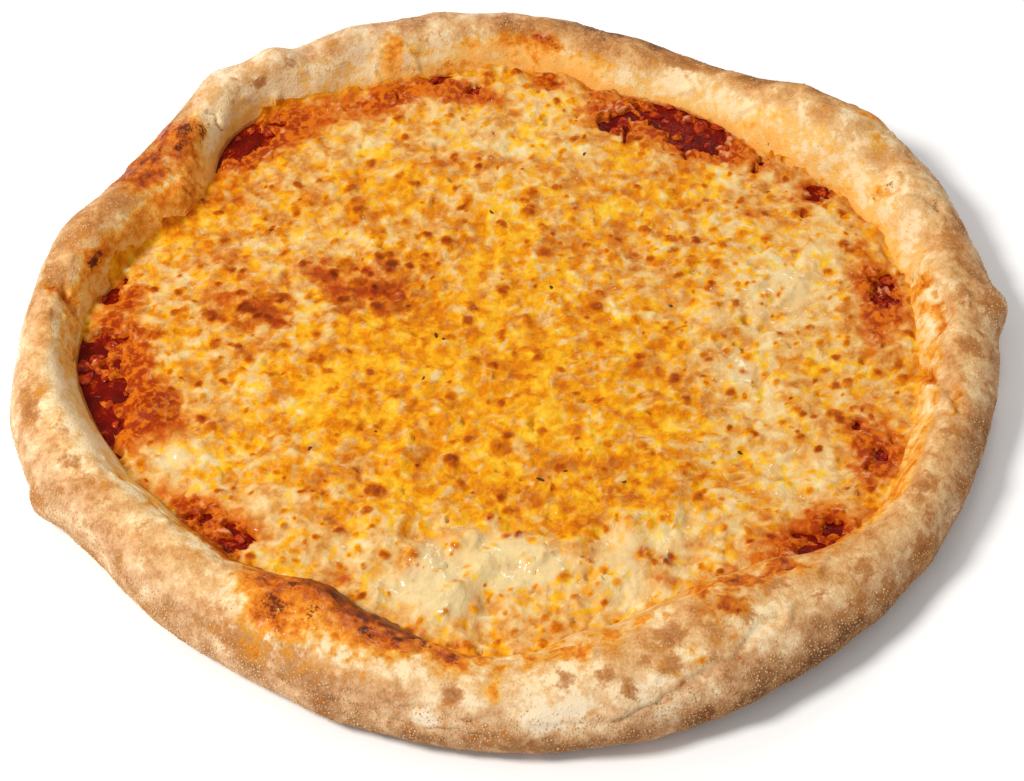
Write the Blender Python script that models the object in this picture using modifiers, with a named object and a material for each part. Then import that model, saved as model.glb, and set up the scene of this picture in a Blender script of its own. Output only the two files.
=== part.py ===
"""A whole margherita pizza: a risen, hand-stretched crust, tomato sauce and melted cheese.

Metres, +Z up.  The origin is under the middle of the pizza, on the surface it lies on.  The crust is
one baked piece, a thin base with a fat uneven rim.  The sauce is a thin layer on the base, and the
cheese a layer on the sauce that draws back from the rim where the sauce pools.
"""
import math
import random

import bpy
from mathutils import Vector

MM = 0.001

# Layers
CLEARANCE = 0.3 * MM
BASE_THICKNESS = 4.5 * MM
SAUCE_THICKNESS = 1.4 * MM
CHEESE_THICKNESS = 2.6 * MM

# An even rim, before it is stretched by hand
RIM_RADIUS = 158 * MM
WELL_RADIUS = 129 * MM
RIM_HEIGHT = 23 * MM
FOOT_TUCK = 7 * MM
BELLY_LEVEL = 0.42
CROWN_INSET = 0.48
SLOPE_SHARPNESS = 1.2

# The stretched rim every 15 degrees, anticlockwise from +X, in millimetres: how far out it reaches,
# where its inner foot meets the topping, and how high its crown is.
RIM_STATIONS = (
    (159.5, 130.0, 22.0), (162.0, 133.0, 21.5), (162.0, 131.0, 24.0), (154.5, 124.0, 27.0),
    (149.5, 125.0, 18.5), (152.0, 124.0, 20.0), (155.5, 132.0, 21.5), (158.5, 131.0, 22.5),
    (158.0, 136.0, 23.0), (160.0, 140.0, 23.0), (157.0, 125.0, 22.0), (162.5, 136.0, 23.0),
    (163.3, 144.0, 22.0), (166.5, 137.0, 23.5), (158.5, 127.0, 24.0), (154.5, 120.0, 24.0),
    (153.0, 113.0, 24.0), (154.0, 117.0, 23.0), (155.3, 119.0, 22.0), (156.0, 111.0, 23.5),
    (154.5, 108.5, 24.0), (154.5, 120.0, 22.0), (155.0, 131.0, 21.0), (156.0, 129.5, 21.0),
)

# Blisters, knuckles and pinches in the rim: angle round the pizza and lean in degrees, where a lean of
# 0 faces out, 90 up and 180 in to the topping, then reach and lift in millimetres.
BLISTERS = (
    (40, 118, 21, 4.0),
    (23, 100, 13, 2.5),
    (10, 120, 10, 2.0),
    (5, 15, 8, 4.5),
    (36, 50, 7, 2.0),
    (29, 100, 5, -2.2),
    (15, 110, 5, -1.8),
    (53, 95, 7, -2.2),
    (85, 110, 10, 1.8),
    (107, 120, 7, 1.8),
    (120, 75, 6, -2.5),
    (125, 70, 8, 3.5),
    (132, 35, 9, 3.5),
    (139, 70, 7, -3.0),
    (150, 150, 13, 2.5),
    (165, 110, 12, 2.0),
    (180, 20, 12, 1.0),
    (204, 5, 8, 4.5),
    (214, 10, 8, -1.5),
    (240, 148, 13, 5.0),
    (252, 145, 9, 3.0),
    (264, 160, 7, -2.5),
    (277, 150, 9, 3.5),
    (300, 130, 12, 3.0),
    (311, 148, 10, 4.5),
)

# Small swellings all round the rim
LUMP_COUNT = 46
LUMP_REACH = (7 * MM, 13 * MM)
LUMP_LIFT = (-1.0 * MM, 1.3 * MM)
LUMP_LEAN = (5, 150)
LUMP_SEED = 11
HOLD_DEPTH = 6 * MM

# Where the sauce pools beside the rim: angle, half width in degrees and how far the cheese draws
# back in millimetres.
POOLS = (
    (187, 12, 15.0),
    (138, 8, 10.0),
    (100, 14, 5.0),
    (61, 14, 11.0),
    (33, 7, 4.0),
    (10, 9, 5.0),
    (339, 8, 4.0),
    (317, 10, 9.0),
)
SAUCE_MARGIN = 2.5 * MM
CHEESE_MARGIN = 4.0 * MM

# Mounds of melted cheese: angle in degrees, then distance out, reach and lift in millimetres.
MOUNDS = (
    (233, 60, 5, 2.6),
    (252, 82, 14, 1.8),
    (268, 88, 12, 2.2),
    (284, 84, 14, 1.8),
    (302, 78, 12, 1.6),
    (225, 92, 15, 1.4),
    (20, 78, 18, 0.9),
    (95, 70, 20, 0.8),
    (160, 85, 18, 0.9),
    (330, 60, 20, 0.8),
)

# Where the middle of the uneven crust's box falls before it is centred on the origin
FOOTPRINT_MIDDLE = Vector((-0.23 * MM, 0.44 * MM, 0.0))

# Fineness of the turned shapes
RIM_SECTIONS = 128
TOPPING_SECTIONS = 64


def clear_scene():
    for item in list(bpy.data.objects):
        bpy.data.objects.remove(item, do_unlink=True)


def plain_material(name, color, roughness):
    material = bpy.data.materials.new(name)
    material.use_nodes = True
    shader = material.node_tree.nodes["Principled BSDF"]
    shader.inputs["Base Color"].default_value = (*color, 1.0)
    shader.inputs["Roughness"].default_value = roughness
    shader.inputs["Metallic"].default_value = 0.0
    return material


def smoothstep(low, high, value):
    share = min(max((value - low) / (high - low), 0.0), 1.0)
    return share * share * (3.0 - 2.0 * share)


def angle_of(point):
    return math.degrees(math.atan2(point.y, point.x)) % 360.0


def polar(angle, reach, height):
    turn = math.radians(angle)
    return Vector((reach * math.cos(turn), reach * math.sin(turn), height))


def rim_at(angle):
    """Outer reach, well radius and crown height at an angle, on a smooth closed curve."""
    step = 360.0 / len(RIM_STATIONS)
    first = int(angle // step)
    t = angle / step - first
    rows = [RIM_STATIONS[(first + k) % len(RIM_STATIONS)] for k in (-1, 0, 1, 2)]
    values = []
    for a, b, c, d in zip(*rows):
        bend = (2 * a - 5 * b + 4 * c - d) + (3 * b - 3 * c + d - a) * t
        values.append((b + 0.5 * t * ((c - a) + t * bend)) * MM)
    return values


def turned(name, profile, sections):
    """Turn a profile of (distance out, height) points about Z and return it as a plain mesh object."""
    outline = bpy.data.meshes.new(name + "_profile")
    edges = [(k, k + 1) for k in range(len(profile) - 1)]
    outline.from_pydata([(reach, 0.0, height) for reach, height in profile], edges, [])
    lathe = bpy.data.objects.new(name + "_profile", outline)
    bpy.context.scene.collection.objects.link(lathe)
    screw = lathe.modifiers.new("Turn", "SCREW")
    screw.axis = "Z"
    screw.angle = math.tau
    screw.steps = sections
    screw.render_steps = sections
    screw.use_merge_vertices = True
    screw.merge_threshold = 0.00005
    screw.use_smooth_shade = True
    evaluated = lathe.evaluated_get(bpy.context.evaluated_depsgraph_get())
    mesh = bpy.data.meshes.new_from_object(evaluated)
    mesh.name = name
    bpy.data.objects.remove(lathe, do_unlink=True)
    return bpy.data.objects.new(name, mesh)


def rim_profile():
    """Half section of the crust with an even rim, from the middle of its top round to the underside."""
    width = RIM_RADIUS - WELL_RADIUS
    crown_reach = RIM_RADIUS - CROWN_INSET * width
    belly = BELLY_LEVEL * RIM_HEIGHT
    points = [(0.0, BASE_THICKNESS)]
    points += [(share * WELL_RADIUS, BASE_THICKNESS) for share in (0.35, 0.7, 0.9)]
    slope_steps = 8
    for k in range(slope_steps):
        t = 1.0 - k / slope_steps
        rise = (1.0 - t * t) ** SLOPE_SHARPNESS
        reach = crown_reach - t * (crown_reach - WELL_RADIUS)
        points.append((reach, BASE_THICKNESS + rise * (RIM_HEIGHT - BASE_THICKNESS)))
    shoulder_steps = 7
    for k in range(shoulder_steps):
        turn = math.radians(90.0 * (1.0 - k / shoulder_steps))
        reach = crown_reach + (RIM_RADIUS - crown_reach) * math.cos(turn)
        points.append((reach, belly + (RIM_HEIGHT - belly) * math.sin(turn)))
    belly_steps = 4
    for k in range(belly_steps + 1):
        turn = math.radians(90.0 * k / belly_steps)
        reach = RIM_RADIUS - FOOT_TUCK * (1.0 - math.cos(turn))
        points.append((reach, belly * (1.0 - math.sin(turn))))
    points += [(share * WELL_RADIUS, 0.0) for share in (0.9, 0.45)]
    points.append((0.0, 0.0))
    return points


def stretch(point):
    """Move a point of the even crust to its place on the hand-stretched one."""
    angle = angle_of(point)
    reach = math.hypot(point.x, point.y)
    outer, well, crown = rim_at(angle)
    across = (reach - WELL_RADIUS) / (RIM_RADIUS - WELL_RADIUS)
    if across <= 0.0:
        reach *= well / WELL_RADIUS
    else:
        reach = well + across * (outer - well)
    height = point.z
    if height > BASE_THICKNESS:
        rise = (crown - BASE_THICKNESS) / (RIM_HEIGHT - BASE_THICKNESS)
        height = BASE_THICKNESS + (height - BASE_THICKNESS) * rise
    return polar(angle, reach, height)


def rim_core(angle):
    """Reach and height of the middle of the rim's section, and the section's half width and rise."""
    outer, well, crown = rim_at(angle)
    half_width = 0.5 * (outer - well)
    return well + half_width, 0.45 * crown, half_width, 0.55 * crown


def blister_places():
    """Every blister and lump as (place, reach, lift) in metres."""
    rows = [(angle, lean, reach * MM, lift * MM) for angle, lean, reach, lift in BLISTERS]
    draw = random.Random(LUMP_SEED)
    for k in range(LUMP_COUNT):
        angle = 360.0 * (k + draw.uniform(-0.4, 0.4)) / LUMP_COUNT % 360.0
        rows.append((angle, draw.uniform(*LUMP_LEAN), draw.uniform(*LUMP_REACH), draw.uniform(*LUMP_LIFT)))
    places = []
    for angle, lean, reach, lift in rows:
        core_reach, core_height, half_width, rise = rim_core(angle)
        out = core_reach + half_width * math.cos(math.radians(lean))
        up = core_height + rise * math.sin(math.radians(lean))
        places.append((polar(angle, out, up), reach, lift))
    return places


def swell(point, places):
    """Push a point of the rim away from the rim's core by the blisters near it."""
    angle = angle_of(point)
    reach = math.hypot(point.x, point.y)
    core_reach, core_height, _, _ = rim_core(angle)
    floor = BASE_THICKNESS if reach < core_reach else 0.0
    hold = smoothstep(floor, floor + HOLD_DEPTH, point.z)
    lift = hold * sum(rise * math.exp(-((point - place).length / spread) ** 2) for place, spread, rise in places)
    out = Vector((reach - core_reach, point.z - core_height))
    out.normalize()
    return polar(angle, reach + lift * out.x, point.z + lift * out.y)


def crust():
    piece = turned("crust", rim_profile(), RIM_SECTIONS)
    places = blister_places()
    for vertex in piece.data.vertices:
        spot = stretch(vertex.co)
        if spot.z > 0.0 and math.hypot(spot.x, spot.y) > 0.75 * WELL_RADIUS:
            spot = swell(spot, places)
        vertex.co = spot
    return piece


def layer_profile(radius, thickness, edge):
    """Half section of a flat layer whose edge thins out over a short way."""
    points = [(share * (radius - edge), thickness) for share in (0.0, 0.2, 0.4, 0.6, 0.8, 0.92, 1.0)]
    points += [(radius - 0.5 * edge, 0.8 * thickness), (radius - 0.1 * edge, 0.4 * thickness), (radius, 0.0)]
    points += [(0.5 * radius, 0.0), (0.0, 0.0)]
    return points


def sauce_reach(angle):
    return rim_at(angle)[1] - SAUCE_MARGIN


def cheese_reach(angle):
    drawn_back = 0.0
    for middle, half_width, depth in POOLS:
        away = (angle - middle + 180.0) % 360.0 - 180.0
        drawn_back += depth * MM * math.exp(-((away / half_width) ** 2))
    return rim_at(angle)[1] - CHEESE_MARGIN - drawn_back


def spread_layer(piece, reach_at):
    """Pull an even round layer out to its own reach at each angle."""
    for vertex in piece.data.vertices:
        angle = angle_of(vertex.co)
        reach = math.hypot(vertex.co.x, vertex.co.y) * reach_at(angle) / WELL_RADIUS
        vertex.co = polar(angle, reach, vertex.co.z)


def sauce():
    piece = turned("sauce", layer_profile(WELL_RADIUS, SAUCE_THICKNESS, 4 * MM), TOPPING_SECTIONS)
    spread_layer(piece, sauce_reach)
    piece.location.z = BASE_THICKNESS + CLEARANCE
    return piece


def cheese():
    piece = turned("cheese", layer_profile(WELL_RADIUS, CHEESE_THICKNESS, 6 * MM), TOPPING_SECTIONS)
    spread_layer(piece, cheese_reach)
    mounds = [(polar(angle, out * MM, 0.0), reach * MM, lift * MM) for angle, out, reach, lift in MOUNDS]
    for vertex in piece.data.vertices:
        flat = Vector((vertex.co.x, vertex.co.y, 0.0))
        rise = sum(lift * math.exp(-((flat - middle).length / reach) ** 2) for middle, reach, lift in mounds)
        vertex.co.z += rise * vertex.co.z / CHEESE_THICKNESS
    piece.location.z = BASE_THICKNESS + SAUCE_THICKNESS + 2 * CLEARANCE
    return piece


def build():
    clear_scene()
    collection = bpy.data.collections.new("margherita_pizza")
    bpy.context.scene.collection.children.link(collection)
    middle = bpy.data.objects.new("pizza_middle", None)
    middle.location = -FOOTPRINT_MIDDLE
    collection.objects.link(middle)
    finishes = (
        (crust, plain_material("baked_dough", (0.68, 0.40, 0.18), 0.75)),
        (sauce, plain_material("tomato_sauce", (0.35, 0.02, 0.01), 0.30)),
        (cheese, plain_material("melted_mozzarella", (0.80, 0.42, 0.08), 0.40)),
    )
    for make, material in finishes:
        piece = make()
        piece.data.materials.append(material)
        piece.data.shade_smooth()
        piece.parent = middle
        collection.objects.link(piece)


build()
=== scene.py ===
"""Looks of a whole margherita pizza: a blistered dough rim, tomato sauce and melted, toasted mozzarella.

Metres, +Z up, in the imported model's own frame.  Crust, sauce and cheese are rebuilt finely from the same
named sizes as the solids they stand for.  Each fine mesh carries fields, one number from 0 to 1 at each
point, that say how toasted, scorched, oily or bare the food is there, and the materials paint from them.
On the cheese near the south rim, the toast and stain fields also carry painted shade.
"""
import itertools
import math
import random

import bmesh
import bpy
import numpy as np
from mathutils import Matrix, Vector
from mathutils.kdtree import KDTree


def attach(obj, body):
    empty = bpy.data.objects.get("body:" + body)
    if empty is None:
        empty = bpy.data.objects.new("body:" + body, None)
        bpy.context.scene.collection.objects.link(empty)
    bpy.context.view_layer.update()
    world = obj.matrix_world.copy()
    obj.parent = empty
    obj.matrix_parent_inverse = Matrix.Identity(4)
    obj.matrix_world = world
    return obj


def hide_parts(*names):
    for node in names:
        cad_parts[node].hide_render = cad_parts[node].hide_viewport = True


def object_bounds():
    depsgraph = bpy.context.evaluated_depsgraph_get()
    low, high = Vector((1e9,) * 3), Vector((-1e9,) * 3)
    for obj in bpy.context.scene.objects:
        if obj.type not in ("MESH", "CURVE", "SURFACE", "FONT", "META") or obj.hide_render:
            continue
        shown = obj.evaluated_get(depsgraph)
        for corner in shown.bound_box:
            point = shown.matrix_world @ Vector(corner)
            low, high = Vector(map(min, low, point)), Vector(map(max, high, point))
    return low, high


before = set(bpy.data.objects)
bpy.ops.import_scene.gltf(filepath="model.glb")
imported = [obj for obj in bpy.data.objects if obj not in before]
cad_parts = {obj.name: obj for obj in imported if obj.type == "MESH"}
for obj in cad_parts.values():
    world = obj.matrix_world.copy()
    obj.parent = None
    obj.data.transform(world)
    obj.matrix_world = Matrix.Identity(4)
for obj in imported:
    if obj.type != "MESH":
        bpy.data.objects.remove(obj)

cad_low, cad_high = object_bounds()

MM = 0.001

# ---------------------------------------------------------------------------------------------------
# Sizes shared with the solids
# ---------------------------------------------------------------------------------------------------
CLEARANCE = 0.3 * MM
BASE_THICKNESS = 4.5 * MM
SAUCE_THICKNESS = 1.4 * MM
CHEESE_THICKNESS = 2.6 * MM
RIM_RADIUS = 158 * MM
WELL_RADIUS = 129 * MM
RIM_HEIGHT = 23 * MM
FOOT_TUCK = 7 * MM
BELLY_LEVEL = 0.42
CROWN_INSET = 0.48
SLOPE_SHARPNESS = 1.2
HOLD_DEPTH = 6 * MM
FOOTPRINT_MIDDLE = np.array((-0.23, 0.44, 0.0)) * MM

# Outer reach, inner foot and crown height of the stretched rim every 15 degrees, in millimetres
RIM_STATIONS = (
    (159.5, 130.0, 22.0), (162.0, 133.0, 21.5), (162.0, 131.0, 24.0), (154.5, 124.0, 27.0),
    (149.5, 125.0, 18.5), (152.0, 124.0, 20.0), (155.5, 132.0, 21.5), (158.5, 131.0, 22.5),
    (158.0, 136.0, 23.0), (160.0, 140.0, 23.0), (157.0, 125.0, 22.0), (162.5, 136.0, 23.0),
    (163.3, 144.0, 22.0), (166.5, 137.0, 23.5), (158.5, 127.0, 24.0), (154.5, 120.0, 24.0),
    (153.0, 113.0, 24.0), (154.0, 117.0, 23.0), (155.3, 119.0, 22.0), (156.0, 111.0, 23.5),
    (154.5, 108.5, 24.0), (154.5, 120.0, 22.0), (155.0, 131.0, 21.0), (156.0, 129.5, 21.0),
)

# Blisters and pinches of the rim: angle and lean in degrees, reach and lift in millimetres.  A lean of
# 0 faces out, 90 is the crown, and 180 faces in to the topping.
BLISTERS = (
    (40, 118, 21, 4.0), (23, 100, 13, 2.5), (10, 120, 10, 2.0), (5, 15, 8, 4.5), (36, 50, 7, 2.0),
    (29, 100, 5, -2.2), (15, 110, 5, -1.8), (53, 95, 7, -2.2), (85, 110, 10, 1.8), (107, 120, 7, 1.8),
    (120, 75, 6, -2.5), (125, 70, 8, 3.5), (132, 35, 9, 3.5), (139, 70, 7, -3.0), (150, 150, 13, 2.5),
    (165, 110, 12, 2.0), (180, 20, 12, 1.0), (204, 5, 8, 4.5), (214, 10, 8, -1.5), (240, 148, 13, 5.0),
    (252, 145, 9, 3.0), (264, 160, 7, -2.5), (277, 150, 9, 3.5), (300, 130, 12, 3.0), (311, 148, 10, 4.5),
)
# Pinches and lobes of the rim too small for the solids, in the same four numbers
PINCHES = (
    (16, 135, 6, -2.0), (1, 125, 6, -2.0), (28, 115, 5, -2.0), (52, 112, 6, -1.6), (346, 112, 7, -1.4),
    (112, 130, 6, -1.2), (174, 106, 6, -1.6), (137, 112, 5, -1.6), (307, 120, 6, -1.4), (8, 118, 7, 1.6),
    (21, 112, 7, 1.6), (356, 100, 8, 1.2), (182, 120, 7, 1.2), (166, 120, 6, 1.2), (143, 90, 6, 1.2),
)
LUMP_COUNT = 46
LUMP_REACH = (7 * MM, 13 * MM)
LUMP_LIFT = (-1.0 * MM, 1.3 * MM)
LUMP_LEAN = (5, 150)
LUMP_SEED = 11

# Where the sauce pools beside the rim: angle, half width in degrees, how far the cheese draws back
POOLS = (
    (187, 12, 11.0), (138, 8, 6.0), (100, 14, 3.0), (61, 14, 7.0), (33, 7, 2.0), (10, 9, 3.0),
    (339, 8, 2.0), (317, 10, 4.0),
)
# How far the melted cheese runs up the rim's foot where no sauce pools
REACH_UP = 4.5 * MM
CHEESE_SPREAD = 6.5 * MM
CLIMB = 2.5 * MM
SAUCE_SWELL = 1.4 * MM

# Mounds of melted cheese: angle in degrees, then distance out, reach and lift in millimetres
MOUNDS = (
    (257, 102, 10, 3.0), (250, 92, 7, 1.4), (262, 90, 6, 1.2), (244, 94, 6, 1.6), (240, 80, 8, 1.6),
    (271, 85, 8, 2.8), (276, 92, 6, 1.6), (283, 84, 5, 1.8), (290, 92, 7, 1.6), (296, 82, 5, 2.0),
    (301, 90, 6, 1.6), (306, 84, 5, 1.4), (312, 78, 6, 1.2), (287, 76, 4, 1.0), (255, 74, 6, 1.4),
    (233, 60, 5, 2.6), (266.3, 94, 4.0, -1.6), (266, 104, 4.5, -1.4), (265.5, 114, 5.5, -1.8),
    (247, 84, 4, -1.2), (279, 101, 5, -0.8), (225, 92, 15, 1.4), (20, 78, 18, 0.9), (95, 70, 20, 0.8),
    (160, 85, 18, 0.9), (330, 60, 20, 0.8),
)

# ---------------------------------------------------------------------------------------------------
# Fineness of the meshes
# ---------------------------------------------------------------------------------------------------
RIM_STEPS = 1080
SLOPE_RINGS, SHOULDER_RINGS, BELLY_RINGS = 30, 34, 14
CHEESE_SIDE = 305
SAUCE_STEPS, SAUCE_RINGS = 720, 40

# One degree round the rim, and one degree of lean, as a length on its skin
ROUND_STEP = 148 * MM * math.radians(1)
LEAN_STEP = 13.5 * MM * math.radians(1)

# ---------------------------------------------------------------------------------------------------
# The baked rim, place by place: angle and lean in degrees, half length round the rim and half width
# across it in millimetres, strength
# ---------------------------------------------------------------------------------------------------
# How brown the oven left the rim every 15 degrees, from 0 for cream to 1 for dark brown, at each lean
BROWNING_LEANS = (0, 30, 60, 90, 120, 150)
BROWNING = (
    (0.5, 0.6, 0.6, 0.5, 0.5, 0.3), (0.5, 0.4, 0.6, 0.4, 0.3, 0.1), (0.6, 0.5, 0.4, 0.3, 0.2, 0.1),
    (0.7, 0.6, 0.7, 0.4, 0.1, 0.0), (0.7, 1.0, 0.7, 0.3, 0.0, 0.0), (0.8, 1.1, 0.9, 0.7, 0.4, 0.1),
    (0.7, 0.6, 0.5, 0.7, 0.5, 0.1), (0.7, 0.6, 0.5, 0.5, 0.2, 0.0), (0.6, 0.5, 0.4, 0.4, 0.1, 0.0),
    (0.6, 0.4, 0.2, 0.1, 0.1, 0.0), (0.7, 0.8, 0.8, 0.7, 0.4, 0.3), (0.5, 0.4, 0.5, 0.6, 0.5, 0.2),
    (0.3, 0.3, 0.5, 0.5, 0.2, 0.2), (0.4, 0.4, 0.4, 0.3, 0.0, 0.0), (0.5, 0.5, 0.5, 0.4, 0.2, 0.2),
    (0.5, 0.5, 0.4, 0.4, 0.7, 0.8), (0.5, 0.5, 0.4, 0.2, 0.5, 1.0), (0.7, 0.6, 0.4, 0.4, 0.5, 1.0),
    (0.6, 0.5, 0.2, 0.4, 0.4, 0.5), (0.7, 0.7, 0.3, 0.5, 0.4, 0.4), (1.1, 0.7, 0.5, 0.7, 0.5, 0.4),
    (0.9, 0.6, 0.4, 0.5, 0.7, 0.7), (0.8, 0.6, 0.4, 0.5, 0.5, 0.4), (0.7, 0.6, 0.5, 0.5, 0.5, 0.3),
)
# How much of the cheese's oil ran up the inner slope every 15 degrees, about 0.4 for a golden film and 1
# for an orange one, at each lean
OIL_LEANS = (120, 150, 180)
OIL_RUN = (
    (0.6, 0.4, 0.5), (0.3, 0.2, 0.6), (0.4, 0.4, 0.6), (0.4, 0.3, 0.7), (0.2, 0.4, 0.9), (0.3, 0.5, 0.8),
    (0.7, 0.8, 0.8), (0.4, 0.4, 0.6), (0.1, 0.2, 0.4), (0.2, 0.2, 0.7), (1.1, 1.3, 1.2), (0.8, 0.7, 0.7),
    (0.6, 0.6, 0.6), (0.2, 0.4, 0.4), (0.3, 0.6, 0.6), (0.6, 0.9, 1.1), (1.0, 1.2, 1.2), (1.1, 1.1, 1.1),
    (0.5, 0.6, 0.8), (0.3, 0.3, 0.5), (0.4, 0.2, 0.1), (0.6, 0.5, 0.6), (0.8, 0.8, 0.8), (0.5, 0.5, 0.5),
)
LEOPARD_SPOTS = (
    (15, 76, 5, 3.5, 0.7), (14, 62, 4, 3, 0.6), (5, 78, 5, 4, 0.9), (10.5, 26, 4, 6, 0.9), (4, 46, 6, 5, 0.8),
    (356, 76, 4.5, 4, 0.9), (26.4, 52, 4, 5, 0.6), (26.3, 93, 4, 2.5, 0.6), (359, 60, 4, 3, 0.7),
    (341.7, 89, 5, 3, 0.7), (332, 86, 7, 5, 0.9), (335.8, 24, 5, 6, 1.0), (325, 29, 6, 6, 1.0),
    (316.7, 65, 5, 4, 0.8), (318, 26.5, 6, 4, 0.9), (313, 37, 5, 3, 0.8), (329, 55, 5, 5, 0.7),
    (289.9, 86, 6, 3.2, 1.0), (295.6, 77, 4, 2.5, 0.9), (300, 80, 4, 2.5, 0.8), (285.9, 77, 3, 2, 0.7),
    (288.5, 65, 4, 2.5, 1.0), (280.6, 73, 3.5, 2.4, 1.0), (275.8, 76, 3.5, 2.8, 0.95), (283, 55, 3, 3, 0.8),
    (271.7, 104, 3, 2, 0.8), (267.5, 96, 2.2, 1.8, 0.9), (263.8, 92, 2.4, 1.8, 0.6), (262.2, 63, 3.6, 2.8, 1.05),
    (306, 95, 6, 2.5, 0.9), (310, 70, 5, 3, 0.6), (294, 60, 3, 2.5, 0.7),
    (222.5, -10, 5, 4, 0.9), (237, 37, 11, 5, 1.0), (242.4, 52, 8, 3.5, 0.8), (246, 44, 8, 2.5, 0.7), (232, 55, 6, 3, 0.6),
    (198, 86, 6, 2.5, 0.6), (193.2, 60, 6.5, 4, 1.05), (190, 56, 4, 3, 0.8), (206.7, 76, 5, 2.5, 0.7),
    (205.5, 42, 4, 3, 0.7), (211.3, 72, 4, 2.5, 0.6), (202.8, 74, 5, 2.5, 0.8), (209, 88, 4, 2, 0.6),
    (187, 62, 3, 3, 0.6), (216, 80, 3, 2.5, 0.6), (220, 70, 4, 3, 0.5), (204, 12, 5, 4, 0.9),
    (158.3, 90, 8, 4.5, 0.9), (152, 84, 5, 4, 0.6), (166, 88, 6, 3, 0.5), (178, 84, 5, 3, 0.5),
    (128.5, 114, 3.4, 3.2, 1.1), (131.9, 110, 2, 1.6, 0.7), (133.6, 130, 2, 1.5, 0.6),
    (123.4, 100, 4, 3, 0.7), (117.6, 108, 3, 2.5, 0.6), (131, 92, 3, 2, 0.6), (135, 84, 3, 2, 0.5),
    (65.3, 72, 9, 5, 1.1), (61, 64, 7, 4, 0.8), (69.6, 87, 8, 4, 0.7), (77.3, 97, 7, 4, 0.6),
    (92, 98, 6, 3, 0.6), (103, 114, 5, 3, 0.5), (106.4, 78, 5, 4, 0.6), (86, 84, 8, 4, 0.6),
)
SCORCHES = (
    (142.5, 88, 5, 3, 1.1), (140.6, 118, 4.5, 3.5, 1.0), (145.4, 94, 4.5, 1.8, 1.0), (143.5, 50, 4, 4, 0.9),
    (138.8, 122, 3, 2, 0.8), (147, 72, 4, 1.6, 0.9),
    (237.2, 113, 3, 1.4, 1.1), (240.8, 117, 3, 1.4, 1.0), (237.5, 82, 4, 3, 1.1), (242.4, 92.5, 2.6, 2.4, 0.9),
    (249.7, 104, 3, 2.4, 1.0), (254, 107, 3.4, 2, 1.0), (251, 98, 3.4, 2, 0.8), (233, 110, 2.4, 2, 0.8),
    (240, 70, 2.6, 1.6, 0.7), (262, 102, 3, 2, 0.8), (245, 112, 2, 1.4, 0.7), (258, 112, 4, 1.8, 0.9),
    (353, 144, 2.6, 1.6, 0.9), (26.5, 112, 3, 1.3, 0.8), (20.1, 77, 3.2, 1.6, 0.8), (302.7, 118, 4.5, 2.4, 1.0),
    (306.5, 112, 3, 1.6, 0.8), (168.4, 129, 3.2, 2.4, 1.15), (165.7, 171, 2.2, 2.4, 1.0),
    (174, 80, 2.6, 1.6, 0.9), (84.2, 124, 2.6, 2.2, 1.0), (86, 113, 4.5, 1.6, 0.8), (9.5, 142, 3.2, 1.6, 0.8),
    (108, 150, 1.4, 1.3, 0.7), (110.4, 158, 1.5, 1.2, 0.8),
)
OIL_STAINS = (
    (149.8, 144, 11, 8, 1.1), (150.4, 190, 10, 6, 1.1), (156, 188, 9, 6, 1.0), (146, 110, 9, 5, 1.0),
    (142, 96, 6, 7, 1.0), (144, 60, 6, 6, 0.9), (145, 150, 6, 8, 0.8), (151, 30, 9, 6, 0.7),
    (151, 58, 9, 6, 1.0), (152, 86, 8, 5, 1.1),
    (234, 104, 9, 6, 1.1), (239, 92, 12, 8, 1.3), (246, 104, 13, 7, 1.3), (254, 110, 11, 5.5, 1.2),
    (261, 108, 8, 5, 1.1), (265, 118, 5, 5, 0.9), (240, 130, 15, 9, 1.2), (252, 135, 14, 7, 1.2),
    (108.3, 128, 3.4, 5.5, 1.15), (109.2, 165, 3.6, 8, 1.15), (110.5, 195, 5, 5, 1.0), (100, 188, 9, 4, 1.0),
    (84.8, 122, 6, 3.5, 1.1), (88, 150, 6, 7, 0.8), (91, 176, 7, 5, 0.9), (49.4, 155, 2.4, 2.2, 1.0),
    (36.5, 58, 4.5, 2.4, 0.9), (33, 78, 3, 4, 0.6), (27.5, 130, 3, 1.8, 0.7), (22, 192, 6, 4, 0.7),
    (14, 186, 5, 5, 0.7), (10, 172, 4, 6, 1.05), (9, 140, 4.5, 4.5, 1.1), (3.5, 128, 4, 4, 1.05),
    (0.5, 118, 6, 2.4, 0.9), (5.5, 150, 2.2, 5, 1.0), (354, 176, 3, 6, 0.9), (353, 150, 3.4, 5, 0.9),
    (335, 196, 12, 4, 0.8),
    (324, 190, 12, 4, 0.9), (316, 150, 7, 4, 0.8), (310, 118, 6, 4, 1.0), (303, 118, 8, 4.5, 1.1),
    (298, 122, 6, 4, 0.9), (277.7, 109, 6, 3, 0.95), (283, 116, 5, 3, 0.8), (288, 120, 6, 2.4, 0.8),
    (271.8, 108, 4, 3, 0.9), (267, 73, 2.6, 2.4, 0.8), (268, 98, 3, 2, 0.7), (291, 112, 4, 1.8, 0.7),
    (168, 128, 6, 5, 1.0), (165.5, 172, 4, 5, 1.0), (174.4, 112, 2.4, 8, 0.9), (176, 150, 3, 8, 0.8),
    (181, 150, 3, 10, 0.6), (171, 190, 6, 4, 0.6), (198, 150, 4, 4, 0.6),
    (207, 122, 4, 2.5, 0.9), (212, 140, 6, 5, 0.8), (222, 150, 10, 7, 1.1), (230, 178, 12, 7, 1.1),
    (160, 150, 5, 5, 0.5), (62, 192, 10, 3, 0.7), (32, 190, 8, 4, 0.6), (346.5, 84, 5, 1.6, 0.6),
    (292, 66, 3.4, 2.4, 0.6), (299, 90, 7, 3, 0.8), (315, 122, 8, 4, 0.7),
)
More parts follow.
